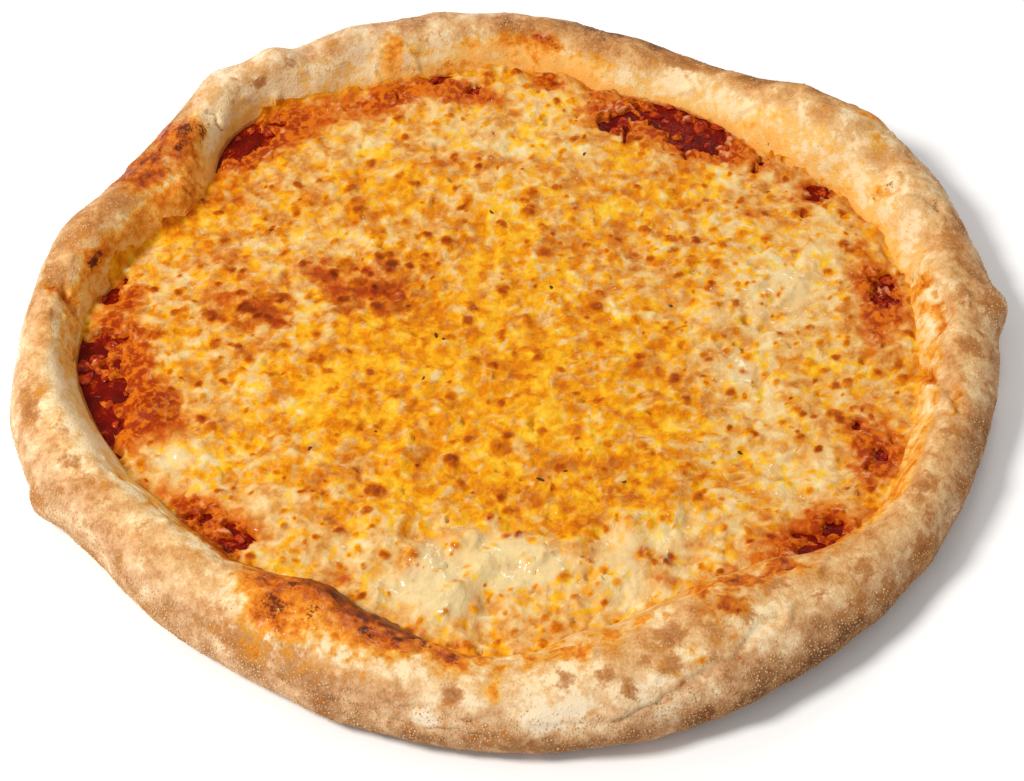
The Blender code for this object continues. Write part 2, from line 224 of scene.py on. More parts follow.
FLOURED = (
    (262, 30, 16, 4, 0.9), (275, 40, 20, 5, 1.0), (288, 30, 18, 5, 1.0), (300, 55, 12, 5, 0.7),
    (305, 80, 10, 4, 0.7), (210, 118, 18, 4, 0.8), (196, 108, 14, 4, 0.7), (184, 116, 10, 3, 0.6),
    (224, 118, 10, 3, 0.7), (252, 70, 12, 3, 0.5), (277, 84, 14, 3, 0.6), (350, 60, 8, 4, 0.5),
)
# Seams, folds and cracks: half width and depth in millimetres, then their (angle, lean) way
CREASES = (
    (3.2, 1.7, ((52.3, 160), (49.5, 116), (45.8, 86))),
    (3.0, 1.8, ((27.0, 150), (25.5, 120), (22.0, 90), (19.5, 77))),
    (3.4, 2.0, ((11.8, 185), (10.6, 150), (8.0, 122), (3.0, 104), (1.0, 112))),
    (3.4, 2.0, ((356.0, 200), (353.4, 150), (350.5, 108), (346.0, 78))),
    (1.2, 1.1, ((137.3, 104), (136.2, 124), (137.0, 142), (136.6, 162))),
    (3.4, 1.8, ((173.4, 72), (172.6, 90), (174.8, 112), (175.4, 150))),
    (1.2, 0.7, ((150.0, 160), (151.0, 120), (148.6, 95), (148.0, 62))),
    (1.6, 1.0, ((281.0, 22), (287.0, 40), (296.0, 54), (304.0, 66))),
    (1.4, 0.8, ((238.0, 6), (246.0, 16), (256.0, 20), (268.0, 14))),
    (1.5, 0.8, ((246.0, 34), (256.0, 40), (266.0, 36))),
    (1.4, 0.9, ((234.5, 118), (241.0, 126), (248.0, 122), (256.0, 120))),
    (1.2, 0.6, ((139.8, 60), (141.5, 84), (143.6, 104))),
    (1.2, 0.8, ((306.0, 150), (306.5, 122), (312.0, 100))),
    (1.2, 0.6, ((206.0, 118), (211.0, 128), (218.0, 124))),
)
RIDGES = (
    (1.6, 0.8, ((344.0, 172), (336.0, 168), (327.0, 140), (319.0, 110), (311.0, 92))),
    (1.4, 0.7, ((232.0, 122), (238.0, 112), (246.0, 114), (254.0, 118), (262.0, 112))),
    (1.5, 0.6, ((112.5, 186), (111.6, 150), (110.6, 118), (107.0, 112), (105.4, 140), (105.0, 180))),
    (1.6, 0.6, ((178.0, 172), (178.6, 140), (177.6, 112))),
    (1.6, 0.5, ((182.5, 170), (183.4, 140))),
    (1.4, 0.8, ((268.0, 124), (276.0, 116), (284.0, 122), (292.0, 118), (300.0, 112))),
)
# The back of the rim, where the dough stayed dull: middle and half width in degrees
BACK_OF_RIM = (112, 34)
# Where the dough was pulled round the rim and shows streaks: middle and half width in degrees
STREAKED_ANGLE = (258, 36)
STREAKED_LEAN = (26, 42)

# ---------------------------------------------------------------------------------------------------
# The topping, place by place: distance right and back and reach in millimetres, strength
# ---------------------------------------------------------------------------------------------------
BARE_SAUCE = (
    (-137, -4, 9, 1.2), (-130, -18, 7, 1.1), (-131, -32, 5, 1.1), (-97, 93, 8, 1.1), (-88, 100, 6, 1.0),
    (-44, 119, 6, 0.9), (-28, 127, 5, 1.0), (-15, 122, 5, 0.7), (12, 126, 4, 0.9), (38, 108, 10, 0.9),
    (60, 103, 8, 1.1), (68, 97, 9, 1.3), (50, 108, 7, 1.0), (86, 83, 5, 0.8), (105, 70, 6, 1.1),
    (112, 75, 5, 1.0), (125, 28, 6, 1.1), (124, 20, 5, 1.0), (122, 10, 5, 0.8), (117, -45, 6, 1.1),
    (110, -33, 4, 0.6), (92, -82, 9, 0.8), (100, -75, 6, 0.8), (-100, -68, 6, 0.9), (-92, -75, 6, 0.9),
    (-85, -80, 5, 0.8), (-135, 24, 6, 0.8), (-74, 108, 5, 0.6), (120, 0, 4, 0.6),
)
# Where the cheese looks red-brown and mottled: mostly where it lies thinly over the sauce, but also as painted shade
# in the hollows among the southern mounds and as painted shadow of the rim along its south-west foot
SAUCE_STAINS_AND_PAINTED_SHADE = (
    (-100, 90, 12, 1.0), (-90, 100, 10, 1.0), (-78, 106, 10, 0.8), (-62, 112, 9, 0.8), (-48, 116, 8, 0.9),
    (-35, 122, 8, 0.9), (-20, 121, 8, 0.8), (-8, 118, 6, 0.6), (12, 126, 7, 0.7), (30, 112, 9, 0.9),
    (42, 106, 9, 0.8), (55, 104, 8, 0.8), (68, 96, 9, 0.9), (76, 88, 8, 0.7), (90, 80, 6, 0.4),
    (102, 70, 7, 0.7), (118, 45, 6, 0.4), (120, 30, 9, 0.8), (122, 18, 8, 0.8),
    (118, 5, 7, 0.5), (115, -20, 8, 0.5), (114, -35, 9, 0.7), (116, -48, 8, 1.0), (110, -60, 7, 0.5),
    (100, -72, 8, 0.7), (88, -84, 9, 0.9), (75, -88, 8, 0.8), (60, -94, 7, 0.7), (-134, 10, 9, 0.9),
    (-130, -5, 10, 1.0), (-124, -22, 12, 1.0), (-112, -28, 9, 0.9), (-124, -40, 7, 0.8),
    (-108, -62, 7, 0.6), (-100, -70, 8, 0.9), (-90, -80, 8, 0.8), (-128, 25, 8, 0.7), (-124, 40, 8, 0.6),
    (-118, 55, 8, 0.5), (-62, 26, 8, 0.5), (-48, 34, 8, 0.5), (-70, 36, 8, 0.4), (-82, 30, 7, 0.4),
    # The five rows on the line below and the first two on the line after it darken the hollows among the southern
    # mounds: partly sauce stain, partly painted shade.
    (-20, -84, 7, 0.4), (-34, -90, 7, 0.5), (14, -74, 7, 0.4), (42, -92, 7, 0.5), (24, -102, 6, 0.4),
    (-56, -94, 7, 0.5), (58, -82, 7, 0.5), (20, 60, 9, 0.3), (58, 20, 9, 0.3), (-108, 10, 8, 0.3), (48, 78, 9, 0.35),
    # The last two rows on the line below and the first three on the line after it are painted shadow: a dark
    # red-brown band along the rim's south-west foot, where the rim shades the cheese.
    (-30, 88, 9, 0.3), (72, -52, 8, 0.3), (84, 58, 8, 0.3), (-67, -98, 4, 0.9), (-55, -105, 4, 0.9),
    (-43, -111, 4, 0.9), (-31, -115, 4, 0.9), (-19, -119, 4, 0.8), (-40, 20, 9, 0.35), (-95, 20, 8, 0.35),
)
OILY = (
    (5, -40, 45, 1.0), (-40, -25, 35, 0.8), (-60, -10, 25, 0.7), (30, -50, 25, 0.8), (-115, 60, 20, 0.9),
    (-105, 75, 15, 0.9), (-40, 75, 15, 0.5), (30, 75, 25, 0.5), (60, 45, 20, 0.5), (-112, 12, 12, 0.4),
    (-112, -10, 12, 0.4), (-20, 30, 40, 0.45), (20, 0, 40, 0.6), (-70, -48, 20, 0.6), (-20, -55, 25, 0.8),
    (-95, -20, 14, 0.3), (75, -60, 10, 0.3),
)
CREAMY = (
    (75, -15, 18, 0.8), (95, 15, 22, 0.7), (95, 35, 18, 0.6), (0, -88, 14, 1.2), (-25, -98, 13, 1.2),
    (30, -98, 15, 1.0), (45, -85, 15, 0.8), (60, -75, 14, 0.8), (-50, -86, 13, 0.8), (-70, -70, 14, 0.7),
    (-85, -60, 14, 0.8), (-110, -47, 10, 1.5), (-50, 95, 12, 0.7), (0, 95, 25, 0.7), (-75, 40, 9, 0.8),
    (0, -92, 10, 0.6), (-38, -98, 9, 0.7), (-20, -106, 9, 0.6), (-58, -84, 9, 0.3),
    (14, -90, 9, 0.5), (30, -80, 8, 0.6), (44, -74, 8, 0.5), (-28, -84, 8, 0.5), (72, -14, 8, 0.5),
    (-60, 42, 9, 0.7), (65, 65, 12, 0.6), (82, 78, 9, 0.6), (95, 72, 8, 0.6), (-120, 45, 10, 0.5),
    (-95, -5, 16, 0.6), (-112, 32, 9, 0.6), (-15, -78, 16, 0.8), (40, 30, 20, 0.3), (70, 20, 18, 0.5),
    (80, -48, 18, 0.8), (96, -58, 12, 0.5), (-100, -25, 9, 0.7), (108, 52, 10, 0.6), (55, -40, 10, 0.3),
)
# Toasted patches of the cheese.  The rows at (0, -66) and (-60, -70) darken the cheese near the south rim partly as
# toasting and partly as painted shade.
TOASTING_AND_PAINTED_SHADE = (
    (-60, 30, 14, 0.7), (-40, 22, 14, 0.9), (-84, 16, 9, 0.8), (-115, 62, 14, 0.6), (-90, -6, 7, 0.6),
    (-25, 50, 16, 0.35), (40, 45, 18, 0.3), (30, -62, 16, 0.55), (0, -66, 12, 0.4), (95, -28, 10, 0.3),
    (-80, 105, 8, 0.8), (-50, 114, 9, 0.8), (-20, 117, 8, 0.7), (60, -62, 10, 0.4), (-10, -62, 9, 0.4),
    (-118, -28, 8, 0.5), (85, -78, 9, 0.6), (-95, -62, 8, 0.5), (20, 20, 25, 0.25), (-95, -40, 22, 0.15),
    (-100, 30, 22, 0.3), (-75, 8, 20, 0.3), (-60, -70, 16, 0.45), (-85, 70, 16, 0.4),
)
# Blisters that stand out: right, back and radius in millimetres, depth of toasting, lift in millimetres
BIG_BLISTERS = (
    (-118, -26, 9.5, 0.7, 2.6), (-90, 17, 4.2, 1.0, 0.9), (-45, -60, 4.6, 1.0, 0.8), (-88, -6, 3.0, 0.8, 0.4),
    (-129, 8, 4.0, 0.5, 1.2), (-121, -8, 4.0, 0.6, 1.0), (-55, 62, 3.8, 0.8, 0.5),
    (-42, 38, 3.4, 0.9, 0.4), (-47, 50, 4.2, 0.4, 0.4), (5, 70, 3.8, 0.7, 0.5), (10, 42, 3.6, 0.7, 0.4),
    (60, 38, 3.6, 0.6, 0.4), (55, 70, 3.0, 0.7, 0.5), (68, 78, 3.0, 0.6, 0.5), (70, -20, 3.0, 0.7, 0.3),
    (-19, -97, 3.0, 0.6, 0.4), (15, -95, 4.2, 0.5, 0.3), (5, -80, 3.0, 0.4, 0.3), (40, -86, 5.4, 0.7, 0.9),
    (-41, -86, 3.0, 0.5, 0.3), (16, -77, 4.6, 0.6, 0.3), (27, -92, 2.6, 0.4, 0.2), (48, -72, 3.4, 0.6, 0.3),
    (65, -75, 3.2, 0.9, 0.6), (-35, 75, 2.4, 0.8, 0.3), (0, 131, 3.0, 1.0, 0.8), (27, -23, 3.0, 0.9, 0.4),
    (52, -14, 3.2, 0.7, 0.4), (40, 12, 3.0, 0.5, 0.3), (85, 48, 2.8, 0.5, 0.3), (18, -74, 3.4, 0.5, 0.6),
)
HERB_PLACES = (
    (-26, 4), (-45, -36), (8, -56), (16, -53), (34, -57), (-24, 3), (12, 26), (-66, -44), (52, 18),
    (-8, 60), (72, -44), (-84, 52), (24, 88), (-30, -14),
)

# Melted shreds of mozzarella that draw the cream network over the oil: count, then least and most
# length and half width
CURDS = (900, (5 * MM, 14 * MM), (1.5 * MM, 3.0 * MM), 5)
THREADS = (2400, (2.4 * MM, 7 * MM), (0.7 * MM, 1.4 * MM), 6)
SHRED_STEP = 0.8 * MM
SMALL_BLISTER_COUNT = 1300
SMALL_BLISTER_RADIUS = (1.2 * MM, 3.5 * MM)
SMALL_BLISTER_SEED = 8
ALL_FIELDS = (
    "toast leopard scorch amber oil stain flour seam streak low dusty grains dark pooled "
    "amount cream curd thread spot depth climb"
).split()


# ---------------------------------------------------------------------------------------------------
# Small tools
# ---------------------------------------------------------------------------------------------------
def smooth(low, high, value):
    share = np.clip((value - low) / (high - low), 0.0, 1.0)
    return share * share * (3.0 - 2.0 * share)


def lattice(cells, seed):
    """A fixed random number from -1 to 1 for each whole-numbered place."""
    x, y, z = (cells[..., k].astype(np.int64) for k in range(3))
    n = (x * 73856093) ^ (y * 19349663) ^ (z * 83492791) ^ (seed * 2654435761)
    n = ((n ^ (n >> 13)) * 1274126177) & 0x7FFFFFFF
    return ((n ^ (n >> 16)) & 0xFFFF) / 32767.5 - 1.0


def rough(points, size, seed=0):
    """Smooth noise from -1 to 1 whose bumps are about size across."""
    place = points / size
    cell = np.floor(place)
    share = place - cell
    share = share * share * (3.0 - 2.0 * share)
    total = 0.0
    for corner in itertools.product((0, 1), repeat=3):
        weight = np.prod(np.where(np.array(corner) == 1, share, 1.0 - share), axis=-1)
        total = total + weight * lattice(cell + np.array(corner), seed)
    return total


def crumpled(points, size, seed=0, octaves=3):
    """Noise with ever finer bumps on its bumps."""
    return sum(rough(points, size / 2**k, seed + k) / 2**k for k in range(octaves))


def polar(angle, reach, height):
    turn = np.radians(angle)
    return np.stack(np.broadcast_arrays(reach * np.cos(turn), reach * np.sin(turn), height), axis=-1)


def angle_of(points):
    return np.degrees(np.arctan2(points[..., 1], points[..., 0])) % 360.0


def wrapped(angle):
    """An angle in degrees brought between -180 and 180."""
    return (angle + 180.0) % 360.0 - 180.0


def stamped(flat, rows, wider=1.0):
    """Soft round marks (right, back, reach in millimetres, strength) added up over flat points."""
    total = np.zeros(flat.shape[:-1])
    for right, back, reach, strength in rows:
        away = np.hypot(flat[..., 0] - right * MM, flat[..., 1] - back * MM) / (wider * reach * MM)
        total += strength * np.exp(-away * away)
    return total


def piece_from(name, points, faces, fields):
    """A smooth mesh object at the origin, with its fields as point attributes."""
    mesh = bpy.data.meshes.new(name)
    mesh.from_pydata((points - FOOTPRINT_MIDDLE).tolist(), [], faces)
    for field, values in fields.items():
        layer = mesh.attributes.new(field, "FLOAT", "POINT")
        layer.data.foreach_set("value", np.asarray(values, dtype=np.float32).ravel())
    mesh.shade_smooth()
    piece = bpy.data.objects.new(name, mesh)
    bpy.context.scene.collection.objects.link(piece)
    return piece


def ring_faces(rings, steps, first):
    """Quads between closed rings of points, each ring after the other."""
    faces = []
    for ring in range(rings - 1):
        low = first + ring * steps
        for k in range(steps):
            nxt = (k + 1) % steps
            faces.append((low + k, low + steps + k, low + steps + nxt, low + nxt))
    return faces


# ---------------------------------------------------------------------------------------------------
# Crust
# ---------------------------------------------------------------------------------------------------
def rim_at(angle):
    """Outer reach, inner foot and crown height at each angle, on a smooth closed curve."""
    stations = np.array(RIM_STATIONS) * MM
    place = (angle % 360.0) * len(stations) / 360.0
    first = np.floor(place).astype(int)
    t = (place - first)[..., None]
    a, b, c, d = (stations[(first + k) % len(stations)] for k in (-1, 0, 1, 2))
    bend = (2 * a - 5 * b + 4 * c - d) + (3 * b - 3 * c + d - a) * t
    return np.moveaxis(b + 0.5 * t * ((c - a) + t * bend), -1, 0)


def rim_core(angle):
    """Reach and height of the middle of the rim's section, and the section's half width and rise."""
    outer, well, crown = rim_at(angle)
    half_width = 0.5 * (outer - well)
    return well + half_width, 0.45 * crown, half_width, 0.55 * crown


def rim_section():
    """Half section of the even rim, from near the middle of its top round to near its underside's."""
    width = RIM_RADIUS - WELL_RADIUS
    crown_reach = RIM_RADIUS - CROWN_INSET * width
    belly = BELLY_LEVEL * RIM_HEIGHT
    rows = [(share * WELL_RADIUS, BASE_THICKNESS) for share in (0.5, 0.85, 0.93, 0.97)]
    for t in np.linspace(1.0, 0.0, SLOPE_RINGS, endpoint=False):
        rise = (1.0 - t * t) ** SLOPE_SHARPNESS
        rows.append((crown_reach - t * (crown_reach - WELL_RADIUS), BASE_THICKNESS + rise * (RIM_HEIGHT - BASE_THICKNESS)))
    for turn in np.radians(np.linspace(90.0, 0.0, SHOULDER_RINGS, endpoint=False)):
        reach = crown_reach + (RIM_RADIUS - crown_reach) * math.cos(turn)
        rows.append((reach, belly + (RIM_HEIGHT - belly) * math.sin(turn)))
    for turn in np.radians(np.linspace(0.0, 90.0, BELLY_RINGS)):
        rows.append((RIM_RADIUS - FOOT_TUCK * (1.0 - math.cos(turn)), belly * (1.0 - math.sin(turn))))
    rows += [(share * WELL_RADIUS, 0.0) for share in (1.1, 1.0, 0.8, 0.4)]
    return np.array(rows)


def stretched(angle):
    """Rings of points of the crust, with the even section stretched to each angle's own size."""
    reach, height = (column[:, None] for column in rim_section().T)
    outer, well, crown = rim_at(angle)
    across = (reach - WELL_RADIUS) / (RIM_RADIUS - WELL_RADIUS)
    reach = np.where(across <= 0.0, reach * well / WELL_RADIUS, well + across * (outer - well))
    rise = (crown - BASE_THICKNESS) / (RIM_HEIGHT - BASE_THICKNESS)
    height = np.where(height > BASE_THICKNESS, BASE_THICKNESS + (height - BASE_THICKNESS) * rise, height)
    return polar(angle, reach, height)


def blister_places():
    """Every blister and lump of the rim as (place, reach, lift) in metres."""
    rows = [(angle, lean, reach * MM, lift * MM) for angle, lean, reach, lift in BLISTERS + PINCHES]
    draw = random.Random(LUMP_SEED)
    for k in range(LUMP_COUNT):
        angle = 360.0 * (k + draw.uniform(-0.4, 0.4)) / LUMP_COUNT % 360.0
        rows.append((angle, draw.uniform(*LUMP_LEAN), draw.uniform(*LUMP_REACH), draw.uniform(*LUMP_LIFT)))
    places = []
    for angle, lean, reach, lift in rows:
        core_reach, core_height, half_width, rise = rim_core(np.array(float(angle)))
        out = core_reach + half_width * math.cos(math.radians(lean))
        up = core_height + rise * math.sin(math.radians(lean))
        places.append((polar(angle, out, up), reach, lift))
    return places


def pushed(points, lift):
    """Push points of the rim away from the rim's core, but hold the base and the foot still."""
    angle = angle_of(points)
    reach, height = np.hypot(points[..., 0], points[..., 1]), points[..., 2]
    core_reach, core_height, _, _ = rim_core(angle)
    floor = np.where(reach < core_reach, BASE_THICKNESS, 0.0)
    hold = smooth(floor, floor + HOLD_DEPTH, height) * (reach > 0.75 * WELL_RADIUS)
    out, up = reach - core_reach, height - core_height
    length = np.hypot(out, up)
    push = lift * hold / length
    return polar(angle, reach + push * out, height + push * up)


def rim_place(points):
    """Angle and lean in degrees of points on the rim."""
    angle = angle_of(points)
    core_reach, core_height, half_width, rise = rim_core(angle)
    reach = np.hypot(points[..., 0], points[..., 1])
    lean = np.degrees(np.arctan2((points[..., 2] - core_height) / rise, (reach - core_reach) / half_width))
    return angle, np.where(lean < -70.0, lean + 360.0, lean)


def strayed(points, angle, lean, size, reach, seed):
    """Angle and lean moved about by soft noise, so that marks read there have uneven edges."""
    side = reach * crumpled(points, size, seed)
    up = reach * crumpled(points, size, seed + 10)
    return angle + side / ROUND_STEP, lean + up / LEAN_STEP


def patched(angle, lean, rows):
    """Oval patches on the rim's skin: their strength in the middle, falling softly past the edge."""
    field = np.zeros_like(angle)
    for middle, tilt, along, across, strength in rows:
        side = wrapped(angle - middle) * ROUND_STEP / (along * MM)
        up = (lean - tilt) * LEAN_STEP / (across * MM)
        field = np.maximum(field, strength * np.exp(-0.7 * (side * side + up * up)))
    return field


def lined(angle, lean, rows):
    """Lines on the rim's skin as (mark from 1 on a line to 0 at its edge, depth of the line)."""
    mark, depth = np.zeros_like(angle), np.zeros_like(angle)
    for half_width, line_depth, way in rows:
        for (angle_a, lean_a), (angle_b, lean_b) in zip(way, way[1:]):
            run = np.array((wrapped(angle_b - angle_a) * ROUND_STEP, (lean_b - lean_a) * LEAN_STEP))
            side, up = wrapped(angle - angle_a) * ROUND_STEP, (lean - lean_a) * LEAN_STEP
            share = np.clip((side * run[0] + up * run[1]) / (run @ run), 0.0, 1.0)
            away = np.hypot(side - share * run[0], up - share * run[1]) / (half_width * MM)
            here = np.clip(1.0 - away, 0.0, 1.0)
            mark = np.maximum(mark, here)
            depth = np.maximum(depth, line_depth * MM * here * here * (3.0 - 2.0 * here))
    return mark, depth


def read_off(table, leans, angle, lean):
    """Read a table that has a row for each equal step round the rim and a column for each lean."""
    table = np.array(table)
    place = (angle % 360.0) * len(table) / 360.0
    first = np.floor(place).astype(int)
    share = smooth(0.0, 1.0, place - first)[..., None]
    row = table[first % len(table)] * (1.0 - share) + table[(first + 1) % len(table)] * share
    value = row[..., 0]
    for k in range(1, len(leans)):
        value = value + (row[..., k] - row[..., k - 1]) * smooth(leans[k - 1], leans[k], lean)
    return value


def dough_relief(points, angle, lean):
    """Lift of the fine surface: soft lumps, small bubbles, pulled streaks, seams and ridges."""
    skin = np.stack((angle * ROUND_STEP, lean * LEAN_STEP, 0.0 * angle), axis=-1)
    lift = 0.8 * MM * rough(points, 14 * MM, 1) + 0.4 * MM * rough(points, 6 * MM, 2)
    lift += 0.1 * MM * rough(points, 2.2 * MM, 3)
    lift += 0.9 * MM * smooth(0.45, 1.0, rough(points, 4.5 * MM, 4)) * smooth(30.0, 60.0, lean)
    pulled = np.exp(-((wrapped(angle - STREAKED_ANGLE[0]) / STREAKED_ANGLE[1]) ** 4))
    pulled *= np.exp(-(((lean - STREAKED_LEAN[0]) / STREAKED_LEAN[1]) ** 4))
    streaks = rough(skin * np.array((0.09, 1.0, 1.0)), 1.7 * MM, 6)
    lift += 0.42 * MM * pulled * streaks
    melted = smooth(0.35, 0.8, patched(angle, lean, OIL_STAINS))
    lift += 0.5 * MM * melted * crumpled(points, 3.6 * MM, 9, 2)
    bent = strayed(points, angle, lean, 9 * MM, 1.6 * MM, 71)
    seam, seam_depth = lined(*bent, CREASES)
    _, ridge_lift = lined(*bent, RIDGES)
    return lift - seam_depth + ridge_lift, seam, pulled * (0.5 + 0.5 * streaks)


def crust_surface():
    """Rings of points of the whole crust, from the well to the underside, with its seams and streaks."""
    rings = stretched(np.arange(RIM_STEPS) * 360.0 / RIM_STEPS)
    lift = np.zeros(rings.shape[:-1])
    for place, reach, rise in blister_places():
        lift += rise * np.exp(-(np.sum((rings - place) ** 2, axis=-1) / reach**2))
    rings = pushed(rings, lift)
    relief, seam, streak = dough_relief(rings, *rim_place(rings))
    rings = pushed(rings, relief)
    low, high = (np.array(corner) + FOOTPRINT_MIDDLE for corner in (cad_low, cad_high))
    return np.clip(rings, low + 0.02 * MM * np.array((1, 1, 0)), high - 0.02 * MM), seam, streak


def make_crust(rings, seam, streak):
    angle, lean = rim_place(rings)
    height = rings[..., 2]
    marks = strayed(rings, angle, lean, 5 * MM, 1.3 * MM, 81)
    run = strayed(rings, angle, lean, 9 * MM, 3.5 * MM, 84)
    inner = smooth(100.0, 125.0, lean) * (lean < 250.0)
    bled = inner * (1.0 - smooth(7.5 * MM, 10 * MM, height))
    foot = 0.5 * smooth(182.0, 200.0, lean)
    amber = patched(*marks, OIL_STAINS)
    back = np.exp(-((wrapped(angle - BACK_OF_RIM[0]) / BACK_OF_RIM[1]) ** 2))
    low, high = (np.array(corner) + FOOTPRINT_MIDDLE for corner in (cad_low, cad_high))
    room = np.minimum(rings - low, high - rings)[..., :2].min(axis=-1)
    patchy = smooth(-0.4, 0.7, rough(rings, 12 * MM, 87))
    grains = 0.95 * (1.0 - smooth(8.0, 48.0, lean + 25.0 * (patchy - 0.5)))
    grains += 0.12 * patchy * (1.0 - smooth(40.0, 105.0, lean))
    grains *= (height > 1.0 * MM) * smooth(0.45 * MM, 1.0 * MM, room)
    fields = {
        "toast": read_off(BROWNING, BROWNING_LEANS, *run),
        "leopard": patched(*marks, LEOPARD_SPOTS),
        "scorch": patched(*marks, SCORCHES),
        "amber": amber,
        "oil": np.maximum(amber, inner * (read_off(OIL_RUN, OIL_LEANS, *run) + foot)),
        "stain": bled * np.clip(stamped(rings, BARE_SAUCE, 2.0), 0.0, 1.0),
        "flour": patched(*marks, FLOURED),
        "seam": seam,
        "streak": streak,
        "low": (1.0 - smooth(0.5 * MM, 7.0 * MM, height)) * (lean < 100.0),
        "dusty": 1.0 - smooth(5.0, 100.0, lean - 40.0 * back),
        "grains": grains,
    }
    count = len(rings)
    last = count * RIM_STEPS
    faces = ring_faces(count, RIM_STEPS, 0)
    for k in range(RIM_STEPS):
        nxt = (k + 1) % RIM_STEPS
        faces.append((last, k, nxt))
        faces.append((last + 1, last - RIM_STEPS + nxt, last - RIM_STEPS + k))
    points = np.concatenate((rings.reshape(-1, 3), ((0.0, 0.0, BASE_THICKNESS), (0.0, 0.0, 0.0))))
    fields = {name: np.append(values.ravel(), (0.0, 0.0)) for name, values in fields.items()}
    return piece_from("baked_crust", points, faces, fields)


def slope_height(rings, angle, reach):
    """Height of the rim's inner slope over each angle and reach."""
    slope = rings[:4 + SLOPE_RINGS]
    reaches = np.maximum.accumulate(np.hypot(slope[..., 0], slope[..., 1]), axis=0)
    column = angle * RIM_STEPS / 360.0
    first = np.floor(column).astype(int)
    heights = np.zeros((2, len(angle)))
    for side in (0, 1):
        order = np.argsort((first + side) % RIM_STEPS, kind="stable")
        ends = np.cumsum(np.bincount((first + side) % RIM_STEPS, minlength=RIM_STEPS))
        for k, here in enumerate(np.split(order, ends[:-1])):
            heights[side, here] = np.interp(reach[here], reaches[:, k], slope[:, k, 2])
    return heights[0] + (heights[1] - heights[0]) * (column - first)


# ---------------------------------------------------------------------------------------------------
# Sauce
# ---------------------------------------------------------------------------------------------------
def make_sauce():
    """A closed sheet of sauce, fine near the rim where it shows, pressed a little into the rim's foot."""
    angle = np.arange(SAUCE_STEPS) * 360.0 / SAUCE_STEPS
    reach = rim_at(angle)[1] + 2.6 * MM
    shares = np.concatenate(((0.3, 0.6, 0.74), np.linspace(0.78, 1.0, SAUCE_RINGS)))[:, None]
    rings = polar(angle, shares * reach, 0.0)
    top = BASE_THICKNESS + CLEARANCE + SAUCE_THICKNESS + 0.25 * MM
    pulp = 0.35 * MM * rough(rings, 8 * MM, 21) + 0.5 * MM * np.abs(crumpled(rings, 4 * MM, 22))
    swell = SAUCE_SWELL * np.clip(stamped(rings, BARE_SAUCE, 1.3), 0.0, 1.0)
    rings[..., 2] = top + pulp + swell - 0.3 * MM
    under = rings[::-1].copy()
    under[..., 2] = BASE_THICKNESS + 0.1 * MM
    rings = np.concatenate((rings, under))
    dark = smooth(-0.5, 0.6, crumpled(rings, 7 * MM, 25))
    count = len(rings)
    last = count * SAUCE_STEPS
    faces = ring_faces(count, SAUCE_STEPS, 0)
    for k in range(SAUCE_STEPS):
        nxt = (k + 1) % SAUCE_STEPS
        faces.append((last, k, nxt))
        faces.append((last + 1, last - SAUCE_STEPS + nxt, last - SAUCE_STEPS + k))
    points = np.concatenate((rings.reshape(-1, 3), ((0.0, 0.0, top), (0.0, 0.0, BASE_THICKNESS + 0.1 * MM))))
    pooled = np.clip(stamped(rings, BARE_SAUCE, 1.2), 0.0, 1.0)
    pooled[len(rings) // 2 - 1:] = 0.0
    fields = {"dark": dark, "pooled": pooled}
    fields = {name: np.append(values.ravel(), (0.0, 0.0)) for name, values in fields.items()}
    return piece_from("tomato_sauce", points, faces, fields)


# ---------------------------------------------------------------------------------------------------
# Cheese
# ---------------------------------------------------------------------------------------------------
def disc_grid(side):
    """A square grid bent into a disc of radius 1, as (angle in degrees, share of the reach)."""
    row = np.linspace(-1.0, 1.0, side)
    u, v = np.meshgrid(row, row)
    wide = np.abs(u) > np.abs(v)
    share = np.where(wide, u, v)
    with np.errstate(divide="ignore", invalid="ignore"):
        turn = np.where(wide, 45.0 * v / u, 90.0 - 45.0 * u / v)
    turn = np.where(share == 0.0, 0.0, turn)
    return np.where(share < 0.0, turn + 180.0, turn) % 360.0, np.abs(share)


def drawn_back(angle):
    """How far the sauce pools hold the cheese back from the rim at each angle."""
    total = np.zeros_like(angle)
    for middle, half_width, depth in POOLS:
        total += depth * MM * np.exp(-((wrapped(angle - middle) / half_width) ** 2))
    return total


def melted_shreds(flat, count, lengths, half_widths, seed):
    """A network of melted shreds over the flat points: 1 along a shred, falling to 0 at its edge."""
    draw = random.Random(seed)
    places, widths = [], []
    for _ in range(count):
        reach = 134 * MM * math.sqrt(draw.random())
        turn = draw.uniform(0.0, math.tau)
        x, y = reach * math.cos(turn), reach * math.sin(turn)
        heading, bend = draw.uniform(0.0, math.tau), draw.uniform(-90.0, 90.0)
        half_width = draw.uniform(*half_widths)
        steps = int(draw.uniform(*lengths) / SHRED_STEP)
        for k in range(steps):
            x += SHRED_STEP * math.cos(heading)
            y += SHRED_STEP * math.sin(heading)
            heading += (bend + draw.uniform(-260.0, 260.0)) * SHRED_STEP
            places.append((x, y, 0.0))
            widths.append(half_width * (0.55 + 0.45 * math.sin(math.pi * (k + 0.5) / steps)))
    tree = KDTree(len(places))
    for k, place in enumerate(places):
        tree.insert(place, k)
    tree.balance()
    field = np.zeros(len(flat))
    for k, (x, y) in enumerate(flat.tolist()):
        _, nearest, away = tree.find((x, y, 0.0))
        field[k] = max(0.0, 1.0 - away / widths[nearest])
    return field


